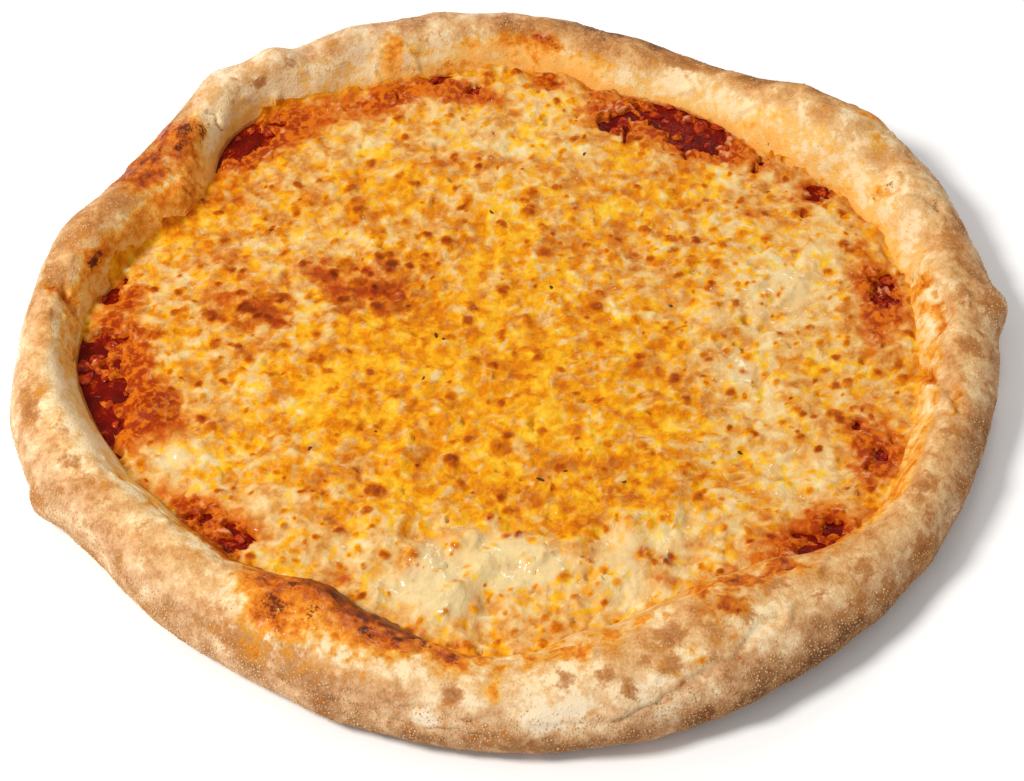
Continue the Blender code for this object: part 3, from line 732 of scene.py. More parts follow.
def toasted_blisters(flat):
    """Blisters of the cheese as (cone from 1 in a middle to 0 at an edge, depth of toasting, lift)."""
    draw = random.Random(SMALL_BLISTER_SEED)
    rows = [(right * MM, back * MM, radius * MM, depth, lift * MM, 1.0, 0.0)
            for right, back, radius, depth, lift in BIG_BLISTERS]
    for _ in range(SMALL_BLISTER_COUNT):
        reach = 134 * MM * math.sqrt(draw.random())
        turn = draw.uniform(0.0, math.tau)
        small, large = SMALL_BLISTER_RADIUS
        radius = small + (large - small) * draw.random() ** 1.5
        rows.append((reach * math.cos(turn), reach * math.sin(turn), radius, draw.random() ** 1.4,
                     0.2 * radius, draw.uniform(0.5, 1.0), draw.uniform(0.0, math.pi)))
    cone, depth_field, lift_field = (np.zeros(len(flat)) for _ in range(3))
    for x, y, radius, depth, lift, slim, turn in rows:
        near = np.flatnonzero((np.abs(flat[:, 0] - x) < 1.6 * radius) & (np.abs(flat[:, 1] - y) < 1.6 * radius))
        side, back = flat[near, 0] - x, flat[near, 1] - y
        along = side * math.cos(turn) + back * math.sin(turn)
        across = (back * math.cos(turn) - side * math.sin(turn)) / slim
        away = np.hypot(along, across) / radius
        here = np.clip(1.0 - away, 0.0, 1.0)
        stronger = here > cone[near]
        cone[near] = np.where(stronger, here, cone[near])
        depth_field[near] = np.where(stronger, depth, depth_field[near])
        lift_field[near] = np.maximum(lift_field[near], lift * np.clip(1.0 - away * away, 0.0, 1.0) ** 1.5)
    return cone, depth_field, lift_field


def blended_over(height, other, softness):
    """The higher of two surfaces, with a soft fillet where they meet."""
    return 0.5 * (height + other + np.sqrt((height - other) ** 2 + softness**2))


def make_cheese(crust_rings):
    angle, share = (field.ravel() for field in disc_grid(CHEESE_SIDE))
    foot = rim_at(angle)[1]
    reach = share * (foot + CHEESE_SPREAD)
    flat = polar(angle, reach, 0.0)
    curds = melted_shreds(flat[:, :2], *CURDS)
    threads = melted_shreds(flat[:, :2], *THREADS)
    edge = foot - drawn_back(angle) - reach
    inside = edge + REACH_UP + 2 * MM * curds
    inside += 2.6 * MM * crumpled(flat, 9 * MM, 31) + 0.8 * MM * rough(flat, 2.6 * MM, 34)
    bare = stamped(flat, BARE_SAUCE) - 0.8 * curds - 0.6 * threads
    bare = smooth(0.4, 0.95, bare + 0.55 * crumpled(flat, 5.5 * MM, 36) + 0.1 * rough(flat, 2.2 * MM, 37))
    amount = smooth(-3.0 * MM, 3.0 * MM, inside) * (1.0 - 0.92 * bare)
    oil = np.clip(stamped(flat, OILY) + 0.35 * crumpled(flat, 24 * MM, 41), 0.0, 1.2)
    cream = np.clip(stamped(flat, CREAMY) + 0.15 * crumpled(flat, 18 * MM, 44), 0.0, 1.5)
    # On the cheese the toast and stain fields below also carry painted shade near the south and south-west rim.
    toast = np.clip(stamped(flat, TOASTING_AND_PAINTED_SHADE) + 0.15 * crumpled(flat, 14 * MM, 47), 0.0, 1.2)
    cone, depth, blister_lift = toasted_blisters(flat[:, :2])
    stain = np.clip(stamped(flat, SAUCE_STAINS_AND_PAINTED_SHADE) + 0.6 * stamped(flat, BARE_SAUCE, 1.5) - 0.1, 0.0, 1.2)
    mounds = sum(
        lift * MM * np.exp(-np.sum((flat - polar(turn, out * MM, 0.0)) ** 2, axis=-1) / (reach_out * MM) ** 2)
        for turn, out, reach_out, lift in MOUNDS
    )
    low = BASE_THICKNESS + SAUCE_THICKNESS - 0.4 * MM
    full = BASE_THICKNESS + SAUCE_THICKNESS + 2 * CLEARANCE + CHEESE_THICKNESS
    height = low + amount * (full - low) + mounds
    height += amount * (0.35 * MM * rough(flat, 22 * MM, 51) + 0.5 * MM * rough(flat, 8 * MM, 52))
    network = 0.45 * MM * smooth(0.0, 0.9, curds) + 0.2 * MM * smooth(0.0, 1.0, threads)
    fine = 0.3 * MM * rough(flat, 3.2 * MM, 53) + network
    height += (0.2 + 0.8 * amount) * (1.0 - 0.6 * np.minimum(stain, 1.0)) * fine
    height += 1.1 * MM * cream * crumpled(flat, 9 * MM, 55, 2) + blister_lift * amount
    climbed = edge + CLIMB + 2.0 * MM * rough(flat, 11 * MM, 33) + 1.2 * MM * rough(flat, 4.5 * MM, 35)
    film = smooth(-2.5 * MM, 2.5 * MM, climbed) * (1.0 - 0.9 * bare)
    slope = slope_height(crust_rings, angle, reach)
    climbing = slope + (1.2 * film - 0.75) * MM
    points = flat.copy()
    points[:, 2] = blended_over(height, climbing, 1.2 * MM)
    fields = {
        "amount": amount, "oil": oil, "cream": cream, "toast": toast, "curd": curds, "thread": threads,
        "spot": cone, "depth": depth, "stain": stain,
        "climb": smooth(-2.5 * MM, 1.5 * MM, climbing - height),

    }
    return closed_disc("melted_cheese", points, CHEESE_SIDE, BASE_THICKNESS + 0.4 * MM, fields)


def closed_disc(name, points, side, floor, fields):
    """Close a bent square grid of points with a wall and a flat underside."""
    index = np.arange(side * side).reshape(side, side)
    quads = np.stack((index[:-1, :-1], index[:-1, 1:], index[1:, 1:], index[1:, :-1]), axis=-1).reshape(-1, 4)
    border = np.concatenate((index[0, :-1], index[:-1, -1], index[-1, :0:-1], index[:0:-1, 0]))
    count = len(border)
    first = side * side
    wall = points[border].copy()
    wall[:, 2] = floor
    faces = quads.tolist()
    for k in range(count):
        nxt = (k + 1) % count
        faces.append((int(border[k]), first + k, first + nxt, int(border[nxt])))
        faces.append((first + k, first + count, first + nxt))
    points = np.concatenate((points, wall, ((0.0, 0.0, floor),)))
    fields = {key: np.concatenate((values, values[border], (0.0,))) for key, values in fields.items()}
    return piece_from(name, points, faces, fields)


# ---------------------------------------------------------------------------------------------------
# Small shapes, and the node tree that sows them
# ---------------------------------------------------------------------------------------------------
def shape_set(name, shapes):
    """A collection of small meshes outside the scene, for the node tree to pick from."""
    collection = bpy.data.collections.new(name)
    for k, (points, faces) in enumerate(shapes):
        mesh = bpy.data.meshes.new(f"{name}_{k}")
        mesh.from_pydata(np.asarray(points).tolist(), [], faces)
        mesh.shade_smooth()
        collection.objects.link(bpy.data.objects.new(f"{name}_{k}", mesh))
    return collection


def pebble(fineness, flatness, unevenness, seed):
    """A small closed uneven lump of about unit radius, sitting a little sunk."""
    ball = bmesh.new()
    bmesh.ops.create_icosphere(ball, subdivisions=fineness, radius=1.0)
    points = np.array([vert.co for vert in ball.verts])
    faces = [[vert.index for vert in face.verts] for face in ball.faces]
    ball.free()
    points *= 1.0 + unevenness * rough(points, 0.9, seed)[:, None]
    return points * np.array((1.0, 1.0, flatness)) + np.array((0.0, 0.0, 0.15 * flatness)), faces



def sowing_tree():
    """A node tree that sows a few shapes over a surface, as thickly as one of its fields says."""
    tree = bpy.data.node_groups.new("sown_over_a_surface", "GeometryNodeTree")
    for name, kind in (
        ("Surface", "Geometry"), ("Shapes", "Collection"), ("Field", "String"), ("Spacing", "Float"),
        ("Thickest", "Float"), ("Smallest", "Float"), ("Largest", "Float"), ("Seed", "Int"),
        ("Material", "Material"),
    ):
        tree.interface.new_socket(name, in_out="INPUT", socket_type="NodeSocket" + kind)
    tree.interface.new_socket("Pieces", in_out="OUTPUT", socket_type="NodeSocketGeometry")
    given = add(tree, "NodeGroupInput").outputs
    thickness = add(tree, "GeometryNodeInputNamedAttribute", {"Name": given["Field"]}).outputs["Attribute"]
    sown = add(tree, "GeometryNodeDistributePointsOnFaces", {
        "Mesh": given["Surface"], "Distance Min": given["Spacing"], "Density Max": given["Thickest"],
        "Density Factor": thickness, "Seed": given["Seed"],
    }, distribute_method="POISSON").outputs
    turn = add(tree, "FunctionNodeRandomValue", {2: 0.0, 3: math.tau, "Seed": 1}).outputs[1]
    spin = add(tree, "FunctionNodeAxisAngleToRotation", {"Axis": (0.0, 0.0, 1.0), "Angle": turn}).outputs[0]
    facing = add(tree, "FunctionNodeRotateRotation", {"Rotation": sown["Rotation"], "Rotate By": spin},
                 rotation_space="LOCAL").outputs[0]
    size = add(tree, "FunctionNodeRandomValue", {2: given["Smallest"], 3: given["Largest"], "Seed": 2}).outputs[1]
    shapes = add(tree, "GeometryNodeCollectionInfo", {
        "Collection": given["Shapes"], "Separate Children": True, "Reset Children": True,
    }).outputs[0]
    placed = add(tree, "GeometryNodeInstanceOnPoints", {
        "Points": sown["Points"], "Instance": shapes, "Pick Instance": True, "Rotation": facing,
        "Scale": size,
    }).outputs[0]
    real = add(tree, "GeometryNodeRealizeInstances", {"Geometry": placed}).outputs[0]
    finished = add(tree, "GeometryNodeSetMaterial", {"Geometry": real, "Material": given["Material"]}).outputs[0]
    add(tree, "NodeGroupOutput", {"Pieces": finished})
    return tree


def sown(name, tree, surface, kept_fields="", **given):
    """Sow shapes over a surface's mesh with the node tree, and keep the result as a plain mesh piece."""
    carrier = bpy.data.objects.new(name + "_carrier", surface.data)
    bpy.context.scene.collection.objects.link(carrier)
    modifier = carrier.modifiers.new("sow", "NODES")
    modifier.node_group = tree
    for socket in tree.interface.items_tree:
        if socket.in_out == "INPUT" and socket.name in given:
            modifier[socket.identifier] = given[socket.name]
    seen = bpy.context.evaluated_depsgraph_get()
    mesh = bpy.data.meshes.new_from_object(carrier.evaluated_get(seen), depsgraph=seen)
    carrier.modifiers.clear()
    bpy.data.objects.remove(carrier)
    for field in [layer.name for layer in mesh.attributes if layer.name in ALL_FIELDS]:
        if field not in kept_fields.split():
            mesh.attributes.remove(mesh.attributes[field])
    mesh.materials.clear()
    mesh.materials.append(given["Material"])
    mesh.polygons.foreach_set("material_index", np.zeros(len(mesh.polygons), dtype=np.int32))
    mesh.name = name
    piece = bpy.data.objects.new(name, mesh)
    bpy.context.scene.collection.objects.link(piece)
    return piece


def herb_flecks(surface):
    """Crumbs of dried leaf pressed into the cheese, each an uneven flat chip."""
    tree = KDTree(len(surface.data.vertices))
    for vert in surface.data.vertices:
        tree.insert((vert.co.x, vert.co.y, 0.0), vert.index)
    tree.balance()
    points, faces = [], []
    for k, (right, back) in enumerate(HERB_PLACES):
        draw = random.Random(k)
        _, nearest, _ = tree.find((right * MM, back * MM, 0.0))
        chip, chip_faces = pebble(2, 0.32, 0.7, 60 + k)
        size = draw.uniform(0.6, 1.1) * MM
        turn = draw.uniform(0.0, math.tau)
        side = chip[:, 0] * math.cos(turn) - 0.55 * chip[:, 1] * math.sin(turn)
        up = chip[:, 0] * math.sin(turn) + 0.55 * chip[:, 1] * math.cos(turn)
        chip = np.stack((side, up, chip[:, 2]), axis=-1) * size
        faces += [[len(points) + corner for corner in face] for face in chip_faces]
        points += (chip + np.array(surface.data.vertices[nearest].co)).tolist()
    return piece_from("oregano_flecks", np.array(points) + FOOTPRINT_MIDDLE, faces, {})


# ---------------------------------------------------------------------------------------------------
# Materials
# ---------------------------------------------------------------------------------------------------
def paint(code):
    """An sRGB hex colour as linear numbers."""
    channels = [int(code[k:k + 2], 16) / 255.0 for k in (1, 3, 5)]
    return (*(c / 12.92 if c <= 0.04045 else ((c + 0.055) / 1.055) ** 2.4 for c in channels), 1.0)


def add(tree, kind, inputs=None, **settings):
    """Add a node, make its settings, and fill its inputs with values or with other nodes' outputs."""
    node = tree.nodes.new(kind)
    for name, value in settings.items():
        setattr(node, name, value)
    for name, value in (inputs or {}).items():
        if isinstance(value, bpy.types.NodeSocket):
            tree.links.new(value, node.inputs[name])
        else:
            node.inputs[name].default_value = value
    return node


def start_material(name):
    """A new material with its tree, its shader and the place on the object."""
    material = bpy.data.materials.new(name)
    material.use_nodes = True
    tree = material.node_tree
    place = add(tree, "ShaderNodeTexCoord").outputs["Object"]
    return material, tree, tree.nodes["Principled BSDF"], place


def fields_of(tree, names):
    """The mesh's own fields, by name."""
    return [add(tree, "ShaderNodeAttribute", attribute_name=name).outputs["Fac"] for name in names.split()]


def patterns(tree, *rows):
    """Soft noise, about 0.5 in its middle, for each (place, bump size in metres, detail, seed)."""
    outputs = []
    for place, size, detail, seed in rows:
        inputs = {"Vector": place, "Scale": 1.0 / size, "Detail": detail, "W": seed}
        outputs.append(add(tree, "ShaderNodeTexNoise", inputs, noise_dimensions="4D").outputs["Fac"])
    return outputs


def weighed(tree, parts, start=0.0):
    """A start value plus each part times its weight."""
    total = start
    for part, weight in parts:
        total = add(tree, "ShaderNodeMath", {0: part, 1: weight, 2: total}, operation="MULTIPLY_ADD").outputs[0]
    return total


def risen(tree, value, low, high, most=1.0):
    """A soft mask that goes from 0 to most as a value passes from low to high."""
    inputs = {"Value": value, "From Min": low, "From Max": high, "To Max": most}
    return add(tree, "ShaderNodeMapRange", inputs, interpolation_type="SMOOTHSTEP").outputs[0]


def cover(tree, parts, low, high, most=1.0):
    """A soft mask that goes from 0 to most as a weighted sum of fields passes from low to high."""
    return risen(tree, weighed(tree, parts), low, high, most)


def drifted(tree, place, size, reach, seed):
    """The place moved about by soft noise, so that a pattern read there looks run and melted."""
    inputs = {"Vector": place, "Scale": 1.0 / size, "Detail": 1.0, "W": seed}
    drift = add(tree, "ShaderNodeTexNoise", inputs, noise_dimensions="4D").outputs["Color"]
    inputs = {0: drift, 1: (reach, reach, reach), 2: place}
    return add(tree, "ShaderNodeVectorMath", inputs, operation="MULTIPLY_ADD").outputs[0]


def layered(tree, base, layers):
    """Paint colours over each other, each through its own mask."""
    for mask, top in layers:
        base = add(tree, "ShaderNodeMix", {0: mask, 6: base, 7: top}, data_type="RGBA").outputs[2]
    return base


def toned(tree, heat, tones):
    """Colours that follow each other as the heat rises: (heat at which a tone is full, its colour)."""
    color, last = paint(tones[0][1]), tones[0][0]
    for level, code in tones[1:]:
        inputs = {"Value": heat, "From Min": last, "From Max": level}
        share = add(tree, "ShaderNodeMapRange", inputs).outputs[0]
        color = layered(tree, color, ((share, paint(code)),))
        last = level
    return color


DRY_CRUST = (
    (0.0, "#ebd1a4"), (0.2, "#dbb27a"), (0.4, "#cd9a60"), (0.58, "#bd8349"), (0.75, "#a56a38"),
    (0.95, "#7f4e2a"), (1.2, "#4f2a17"),
)
DUSTY_CRUST = (
    (0.0, "#e7d3b6"), (0.2, "#dcbc92"), (0.4, "#cca075"), (0.58, "#b68559"), (0.75, "#9c6d45"),
    (0.95, "#785035"), (1.2, "#4e3323"),
)
GOLDEN_CRUST = (
    (0.0, "#e8b860"), (0.2, "#dd9e38"), (0.4, "#cf8421"), (0.6, "#bb6912"), (0.8, "#9a4c0c"),
    (1.0, "#702f08"),
)
OILED_CRUST = (
    (0.0, "#ecab52"), (0.2, "#e08e28"), (0.4, "#cf7110"), (0.6, "#b55408"), (0.8, "#8e3906"),
    (1.0, "#5e2206"), (1.25, "#3a1206"),
)
GOLDEN_CHEESE = (
    (0.0, "#e8c64e"), (0.2, "#e5b02a"), (0.4, "#dd960f"), (0.55, "#d17d08"), (0.7, "#bf6606"),
    (0.85, "#a84f08"), (1.05, "#8a3807"), (1.35, "#5a2206"),
)
PALE_CHEESE = (
    (0.0, "#e1cf9e"), (0.2, "#ddbb80"), (0.4, "#d5a45e"), (0.55, "#c98b40"), (0.7, "#b96e22"),
    (0.85, "#a6530f"), (1.05, "#8a3a09"), (1.35, "#5a2206"),
)
ROSY_CHEESE = (
    (0.0, "#dfc292"), (0.15, "#dbac6c"), (0.3, "#d3934a"), (0.45, "#ca782c"), (0.6, "#bd5c16"),
    (0.75, "#ad440b"), (0.9, "#973407"), (1.1, "#762606"), (1.35, "#4f1805"),
)


def baked_dough():
    """Wheat dough baked hot on stone: a dry matt skin, cream where thin flour kept it pale, tan and grainy
    where tiny bubbles toasted, mauve-brown where it scorched, and orange where cheese oil ran over it."""
    material, tree, shader, place = start_material("baked_wheat_dough")
    run = drifted(tree, place, 5 * MM, 3 * MM, 11.0)
    grit, crumb, clouds = patterns(
        tree, (place, 0.9 * MM, 2.0, 1.0), (run, 2.6 * MM, 3.0, 2.0), (run, 9 * MM, 3.0, 3.0))
    toast, leopard, scorch, oil, amber = fields_of(tree, "toast leopard scorch oil amber")
    flour, seam, streak, low, stain, dusty = fields_of(tree, "flour seam streak low stain dusty")
    bubbles = add(tree, "ShaderNodeTexVoronoi", {"Vector": place, "Scale": 1.0 / (1.25 * MM)}).outputs["Distance"]
    heat = weighed(tree, (
        (toast, 1.0), (clouds, 1.6), (crumb, 0.8), (grit, 0.5), (low, 0.3), (flour, -0.4), (streak, 0.14),
    ), -1.5)
    dusted = cover(tree, ((dusty, 1.0), (clouds, 0.5), (crumb, 0.3)), 0.35, 1.3)
    dry = layered(tree, toned(tree, heat, DRY_CRUST), ((dusted, toned(tree, heat, DUSTY_CRUST)),))
    spots = cover(tree, ((leopard, 1.0), (crumb, 1.0), (grit, 0.5)), 1.1, 1.5, 0.85)
    deep_spots = cover(tree, ((leopard, 1.0), (crumb, 1.2), (grit, 0.9)), 1.6, 2.3, 0.7)
    dots = risen(tree, bubbles, 0.32, 0.12)
    pale_dots = cover(tree, ((dots, 0.7), (heat, 0.7), (grit, 0.3)), 0.85, 1.4, 0.75)
    dry = layered(tree, dry, (
        (spots, paint("#b3763e")),
        (deep_spots, paint("#8f552a")),
        (pale_dots, paint("#e2c496")),
    ))
    oil_heat = weighed(tree, (
        (toast, 0.9), (amber, 0.28), (scorch, 0.18), (oil, 0.1), (crumb, 1.2), (clouds, 0.8), (grit, 0.4),
        (seam, 0.15),
    ), -1.5)
    specks = cover(tree, ((scorch, 1.0), (grit, 2.2), (crumb, 0.8)), 2.1, 2.6, 0.8)
    film = cover(tree, ((oil, 1.0), (scorch, 0.7), (crumb, 0.9), (clouds, 0.8)), 1.25, 1.75)
    golden = cover(tree, ((oil, 0.8), (crumb, 1.1), (clouds, 1.1)), 1.2, 1.6, 0.9)
    red = cover(tree, ((stain, 1.0), (crumb, 1.0), (clouds, 0.4)), 1.05, 1.6, 0.7)
    cracks = cover(tree, ((seam, 1.0), (crumb, 0.4)), 1.08, 1.35, 0.5)
    color = layered(tree, dry, (
        (golden, toned(tree, oil_heat, GOLDEN_CRUST)),
        (film, toned(tree, oil_heat, OILED_CRUST)),
        (specks, paint("#451406")),
        (red, paint("#a8480f")),
        (cracks, paint("#8f5226")),
    ))
    tree.links.new(color, shader.inputs["Base Color"])
    gloss = add(tree, "ShaderNodeMapRange", {"Value": film, "To Min": 0.8, "To Max": 0.42}).outputs[0]
    tree.links.new(gloss, shader.inputs["Roughness"])
    wet = risen(tree, film, 0.5, 1.0, 0.15)
    tree.links.new(wet, shader.inputs["Coat Weight"])
    shader.inputs["Coat Roughness"].default_value = 0.2
    bumps = weighed(tree, ((grit, 0.5), (crumb, 0.5), (dots, 0.25)))
    bump = add(tree, "ShaderNodeBump", {"Height": bumps, "Strength": 0.8, "Distance": 0.55 * MM})
    tree.links.new(bump.outputs[0], shader.inputs["Normal"])
    shader.inputs["Subsurface Weight"].default_value = 0.1
    shader.inputs["Subsurface Radius"].default_value = (1.0, 0.55, 0.3)
    shader.inputs["Subsurface Scale"].default_value = 1.2 * MM
    shader.inputs["IOR"].default_value = 1.45
    shader.inputs["Specular IOR Level"].default_value = 0.12
    return material


def cooked_tomato():
    """Crushed tomato cooked down: wet, deep red juice, orange pulp, darker where it caught the heat."""
    material, tree, shader, place = start_material("cooked_crushed_tomato")
    run = drifted(tree, place, 4 * MM, 3 * MM, 31.0)
    pulp, fine = patterns(tree, (run, 3.4 * MM, 3.0, 1.0), (place, 1.0 * MM, 3.0, 2.0))
    dark, = fields_of(tree, "dark")
    bright = cover(tree, ((pulp, 1.0), (fine, 0.4)), 0.68, 0.88, 0.75)
    caught = cover(tree, ((dark, 1.0), (fine, 0.6)), 0.8, 1.5, 0.8)
    glowing = cover(tree, ((pulp, 1.0), (fine, 0.8), (dark, -0.2)), 0.9, 1.15, 0.7)
    color = layered(tree, paint("#6c0c02"), (
        (bright, paint("#8c1a05")),
        (caught, paint("#4c0a02")),
        (glowing, paint("#cf5a14")),
    ))
    tree.links.new(color, shader.inputs["Base Color"])
    bumps = weighed(tree, ((fine, 0.5), (pulp, 1.2)))
    bump = add(tree, "ShaderNodeBump", {"Height": bumps, "Strength": 0.9, "Distance": 0.8 * MM})
    tree.links.new(bump.outputs[0], shader.inputs["Normal"])
    shader.inputs["Roughness"].default_value = 0.16
    shader.inputs["Subsurface Weight"].default_value = 0.1
    shader.inputs["Subsurface Radius"].default_value = (1.0, 0.25, 0.1)
    shader.inputs["Subsurface Scale"].default_value = 1.5 * MM
    shader.inputs["IOR"].default_value = 1.38
    shader.inputs["Specular IOR Level"].default_value = 0.1
    return material


def melted_mozzarella():
    """Shredded mozzarella melted in its own oil: a soft, moist, slightly see-through cream network over
    amber oil, with small toasted blisters and a red cast where it lies thinly on the sauce.  Near the south
    rim some of the toasted and red-brown colour is painted shade."""
    material, tree, shader, place = start_material("melted_mozzarella")
    run = drifted(tree, place, 4 * MM, 3.5 * MM, 21.0)
    fine, curdle, swirl, clouds, blush, mottle = patterns(
        tree, (place, 1.0 * MM, 2.0, 1.0), (run, 2.3 * MM, 2.0, 2.0), (run, 5.0 * MM, 3.0, 3.0),
        (run, 13 * MM, 3.0, 4.0), (run, 4.5 * MM, 2.0, 5.0), (run, 3.2 * MM, 3.0, 6.0))
    amount, oil, cream, toast = fields_of(tree, "amount oil cream toast")
    curd, thread, spot, depth, stain, climb = fields_of(tree, "curd thread spot depth stain climb")
    blister = risen(tree, weighed(tree, ((spot, 1.0), (curdle, 0.5), (cream, -0.2)), -0.25), 0.0, 0.7)
    melt = weighed(tree, (
        (swirl, 1.5), (curdle, 0.7), (clouds, 1.1), (fine, 0.25), (oil, 0.04), (cream, -0.12), (toast, 0.24),
        (thread, -0.12), (curd, -0.12), (stain, 0.25),
    ), -1.26)
    melt = risen(tree, melt, -0.25, 1.2, 0.8)
    # The toast and stain fields carry painted shade near the south rim, so the seared, reddened and thin colours
    # below paint that shade as well.
    seared = cover(tree, ((toast, 1.0), (swirl, 1.6), (curdle, 0.8)), 1.6, 2.4)
    browned = weighed(tree, ((depth, 0.42), (oil, -0.1), (stain, 0.1)), 0.12)
    heat = weighed(tree, ((blister, browned), (seared, 0.16)), melt)
    reddened = cover(tree, (
        (stain, 0.8), (toast, 0.4), (climb, -0.8), (oil, -0.2), (blush, 1.8), (clouds, 0.6),
    ), 1.25, 1.95)
    pale = cover(tree, (
        (thread, 0.4), (curd, 0.25), (curdle, 1.0), (mottle, 1.5), (cream, 0.12), (oil, -0.22), (climb, -0.3),
        (clouds, 0.6), (blister, -0.5),
    ), 1.4, 1.75)
    color = layered(tree, toned(tree, heat, GOLDEN_CHEESE), (
        (pale, toned(tree, heat, PALE_CHEESE)),
        (reddened, toned(tree, heat, ROSY_CHEESE)),
    ))
    deep = cover(
        tree, ((spot, 1.0), (depth, 0.6), (curdle, 0.5), (toast, 0.2), (cream, -0.35)), 1.4, 2.0, 0.5)
    milky = cover(tree, ((cream, 1.0), (swirl, 1.3), (curdle, 0.5), (spot, -0.5)), 1.85, 2.35, 0.7)
    thin = cover(
        tree, ((stain, 1.3), (climb, -0.8), (amount, -0.5), (swirl, 1.6), (curdle, 1.0)), 1.6, 2.05, 0.9)
    thin_color = layered(tree, paint("#962e06"), ((risen(tree, curdle, 0.42, 0.6), paint("#cc6a10")),))
    threads = cover(tree, ((thread, 0.7), (curd, 0.4), (curdle, 0.9), (stain, 0.2)), 1.1, 1.6, 0.45)
    thread_color = layered(tree, paint("#e2c890"), ((reddened, paint("#d8b08c")),))
    color = layered(tree, color, (
        (milky, paint("#ddcb98")),
        (thin, thin_color),
        (threads, thread_color),
        (deep, paint("#9c4006")),
    ))
    tree.links.new(color, shader.inputs["Base Color"])
    bumps = weighed(tree, ((fine, 0.3), (curdle, 0.8)))
    bump = add(tree, "ShaderNodeBump", {"Height": bumps, "Strength": 0.7, "Distance": 0.8 * MM})
    tree.links.new(bump.outputs[0], shader.inputs["Normal"])
    wet = cover(tree, ((fine, 1.0), (swirl, 0.6), (cream, 0.2)), 1.0, 1.15, 0.8)
    tree.links.new(wet, shader.inputs["Coat Weight"])
    shader.inputs["Coat Roughness"].default_value = 0.12
    shader.inputs["Roughness"].default_value = 0.42
    shader.inputs["Subsurface Weight"].default_value = 0.15
    shader.inputs["Subsurface Radius"].default_value = (1.0, 0.6, 0.3)
    shader.inputs["Subsurface Scale"].default_value = 1.0 * MM
    shader.inputs["IOR"].default_value = 1.44
    shader.inputs["Specular IOR Level"].default_value = 0.06
    return material


def flour_grains():
    """Grains of semolina and tiny burst bubbles on the dough: matt, pale cream, tan where the oven caught
    them."""
    material, tree, shader, place = start_material("toasted_semolina_grains")
    clouds, = patterns(tree, (place, 3 * MM, 2.0, 5.0))
    toast, = fields_of(tree, "toast")
    toasted = cover(tree, ((toast, 0.9), (clouds, 1.4)), 0.7, 1.6)
    color = layered(tree, paint("#e2c9a0"), ((toasted, paint("#bd8b56")),))
    tree.links.new(color, shader.inputs["Base Color"])
    shader.inputs["Roughness"].default_value = 0.85
    shader.inputs["Specular IOR Level"].default_value = 0.1
    return material



def tomato_pulp():
    """Soft bits of tomato flesh in the sauce: wet, red, orange where the skin shows."""
    material, tree, shader, place = start_material("tomato_pulp_bits")
    flesh, = patterns(tree, (place, 2.2 * MM, 2.0, 8.0))
    orange = risen(tree, flesh, 0.42, 0.62)
    color = layered(tree, paint("#801404"), ((orange, paint("#b43c0a")),))
    tree.links.new(color, shader.inputs["Base Color"])
    shader.inputs["Roughness"].default_value = 0.16
    shader.inputs["Subsurface Weight"].default_value = 0.15
    shader.inputs["Subsurface Radius"].default_value = (1.0, 0.25, 0.1)
    shader.inputs["Subsurface Scale"].default_value = 1.2 * MM
    shader.inputs["Specular IOR Level"].default_value = 0.18
    return material


def dried_oregano():
    """Crumbs of dried oregano: matt, brown-green, with nearly black patches."""
    material, tree, shader, place = start_material("dried_oregano")
    leaf, = patterns(tree, (place, 0.6 * MM, 2.0, 9.0))
    color = layered(tree, paint("#57431a"), ((risen(tree, leaf, 0.45, 0.65), paint("#33250f")),))
    tree.links.new(color, shader.inputs["Base Color"])
    shader.inputs["Roughness"].default_value = 0.75
    shader.inputs["Specular IOR Level"].default_value = 0.1
    return material


def white_card():
    """A sheet of matt white card under the food."""
    material, _, shader, _ = start_material("matt_white_card")
    shader.inputs["Base Color"].default_value = paint("#f7f7f7")
    shader.inputs["Roughness"].default_value = 0.9
    return material


# ---------------------------------------------------------------------------------------------------
# Stage, camera and light
# ---------------------------------------------------------------------------------------------------
CAMERA_ELEVATION = 50.4
CAMERA_DISTANCE = 900 * MM
CAMERA_TARGET = Vector((-1.17, -11.44, 0.0)) * MM
SENSOR_WIDTH = 36.0
FOCAL_LENGTH = 95.625


def direction(azimuth, elevation):
    """Unit vector from the pizza towards a place: azimuth 0 is to the right, 90 to the back."""
    turn, rise = math.radians(azimuth), math.radians(elevation)
    return Vector((math.cos(turn) * math.cos(rise), math.sin(turn) * math.cos(rise), math.sin(rise)))


def softbox(name, azimuth, elevation, distance, size, power, color):
    lamp = bpy.data.lights.new(name, "AREA")
    lamp.shape = "DISK"
    lamp.size = size
    lamp.energy = power
    lamp.color = color
    light = bpy.data.objects.new(name, lamp)
    way = direction(azimuth, elevation)
    light.location = way * distance
    light.rotation_euler = way.to_track_quat("Z", "Y").to_euler()
    bpy.context.scene.collection.objects.link(light)


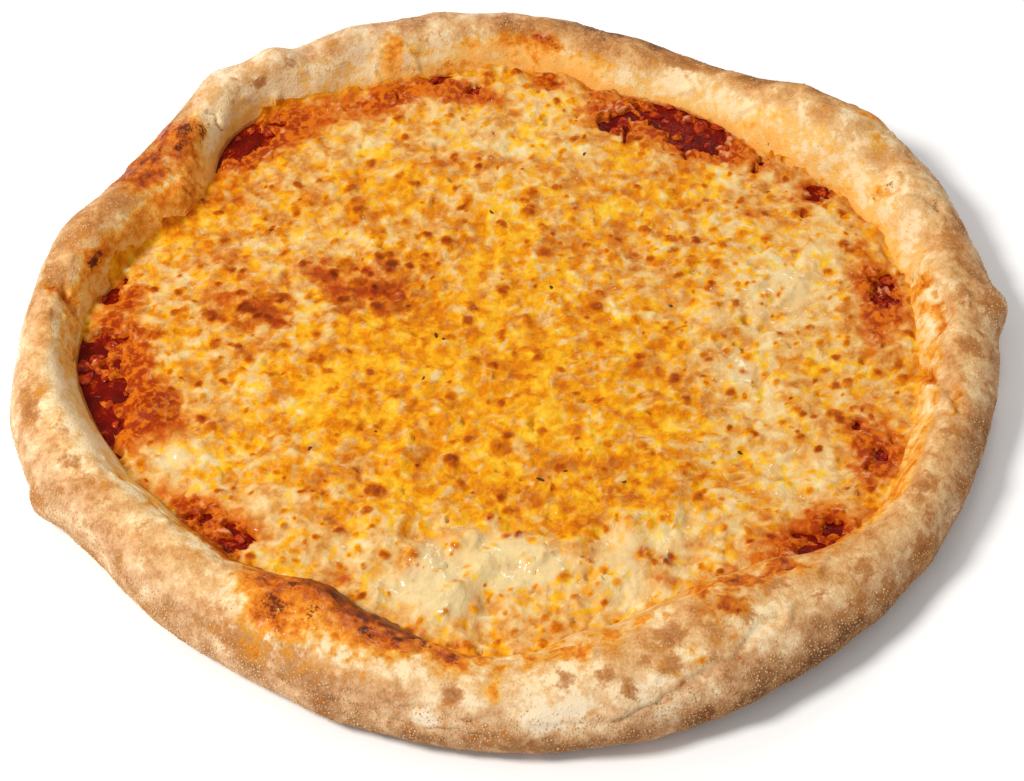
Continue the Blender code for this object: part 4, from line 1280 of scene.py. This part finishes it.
def set_stage():
    bpy.ops.mesh.primitive_plane_add(size=6.0, location=(0.0, 0.0, cad_low.z - 0.05 * MM))
    floor = bpy.context.object
    floor.name = "floor"
    floor.data.materials.append(white_card())
    world = bpy.data.worlds.new("studio")
    bpy.context.scene.world = world
    world.use_nodes = True
    background = world.node_tree.nodes["Background"]
    background.inputs["Color"].default_value = (1.0, 1.0, 1.0, 1.0)
    background.inputs["Strength"].default_value = 0.5
    softbox("key_softbox", 196.0, 50.0, 1.6, 0.42, 23.0, (1.0, 0.97, 0.93))
    softbox("back_strip", 75.0, 38.0, 1.8, 0.5, 5.0, (1.0, 0.98, 0.96))
    bpy.context.scene.view_settings.view_transform = "Standard"


def set_camera():
    camera = bpy.data.objects.new("camera", bpy.data.cameras.new("camera"))
    camera.data.sensor_width = SENSOR_WIDTH
    camera.data.lens = FOCAL_LENGTH
    way = direction(270.0, CAMERA_ELEVATION)
    camera.location = CAMERA_TARGET + way * CAMERA_DISTANCE
    camera.rotation_euler = (math.radians(90.0 - CAMERA_ELEVATION), 0.0, 0.0)
    bpy.context.scene.collection.objects.link(camera)
    bpy.context.scene.camera = camera


# ---------------------------------------------------------------------------------------------------
# The pizza
# ---------------------------------------------------------------------------------------------------
def dress(piece, material, node=None):
    """Give a piece its material and its place in the model."""
    if material.name not in piece.data.materials:
        piece.data.materials.append(material)
    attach(piece, "root")
    if node:
        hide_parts(node)


def build():
    set_stage()
    set_camera()
    rings, seam, streak = crust_surface()
    crust = make_crust(rings, seam, streak)
    sauce = make_sauce()
    cheese = make_cheese(rings)
    tree = sowing_tree()
    grains = sown(
        "semolina_grains", tree, crust, "toast", Field="grains", Spacing=0.72 * MM, Thickest=9e5,
        Smallest=0.2 * MM, Largest=0.45 * MM, Seed=3, Material=flour_grains(),
        Shapes=shape_set("grain", [pebble(1, 0.6, 0.5, seed) for seed in range(4)]))
    bits = sown(
        "tomato_pulp", tree, sauce, Field="pooled", Spacing=4.2 * MM, Thickest=4e4,
        Smallest=1.0 * MM, Largest=2.6 * MM, Seed=4, Material=tomato_pulp(),
        Shapes=shape_set("pulp", [pebble(2, 0.4, 0.8, 20 + seed) for seed in range(5)]))
    dress(crust, baked_dough(), "crust")
    dress(sauce, cooked_tomato(), "sauce")
    dress(cheese, melted_mozzarella(), "cheese")
    dress(herb_flecks(cheese), dried_oregano())
    for piece, slot in ((grains, "crust"), (bits, "sauce")):
        dress(piece, piece.data.materials[0])


build()
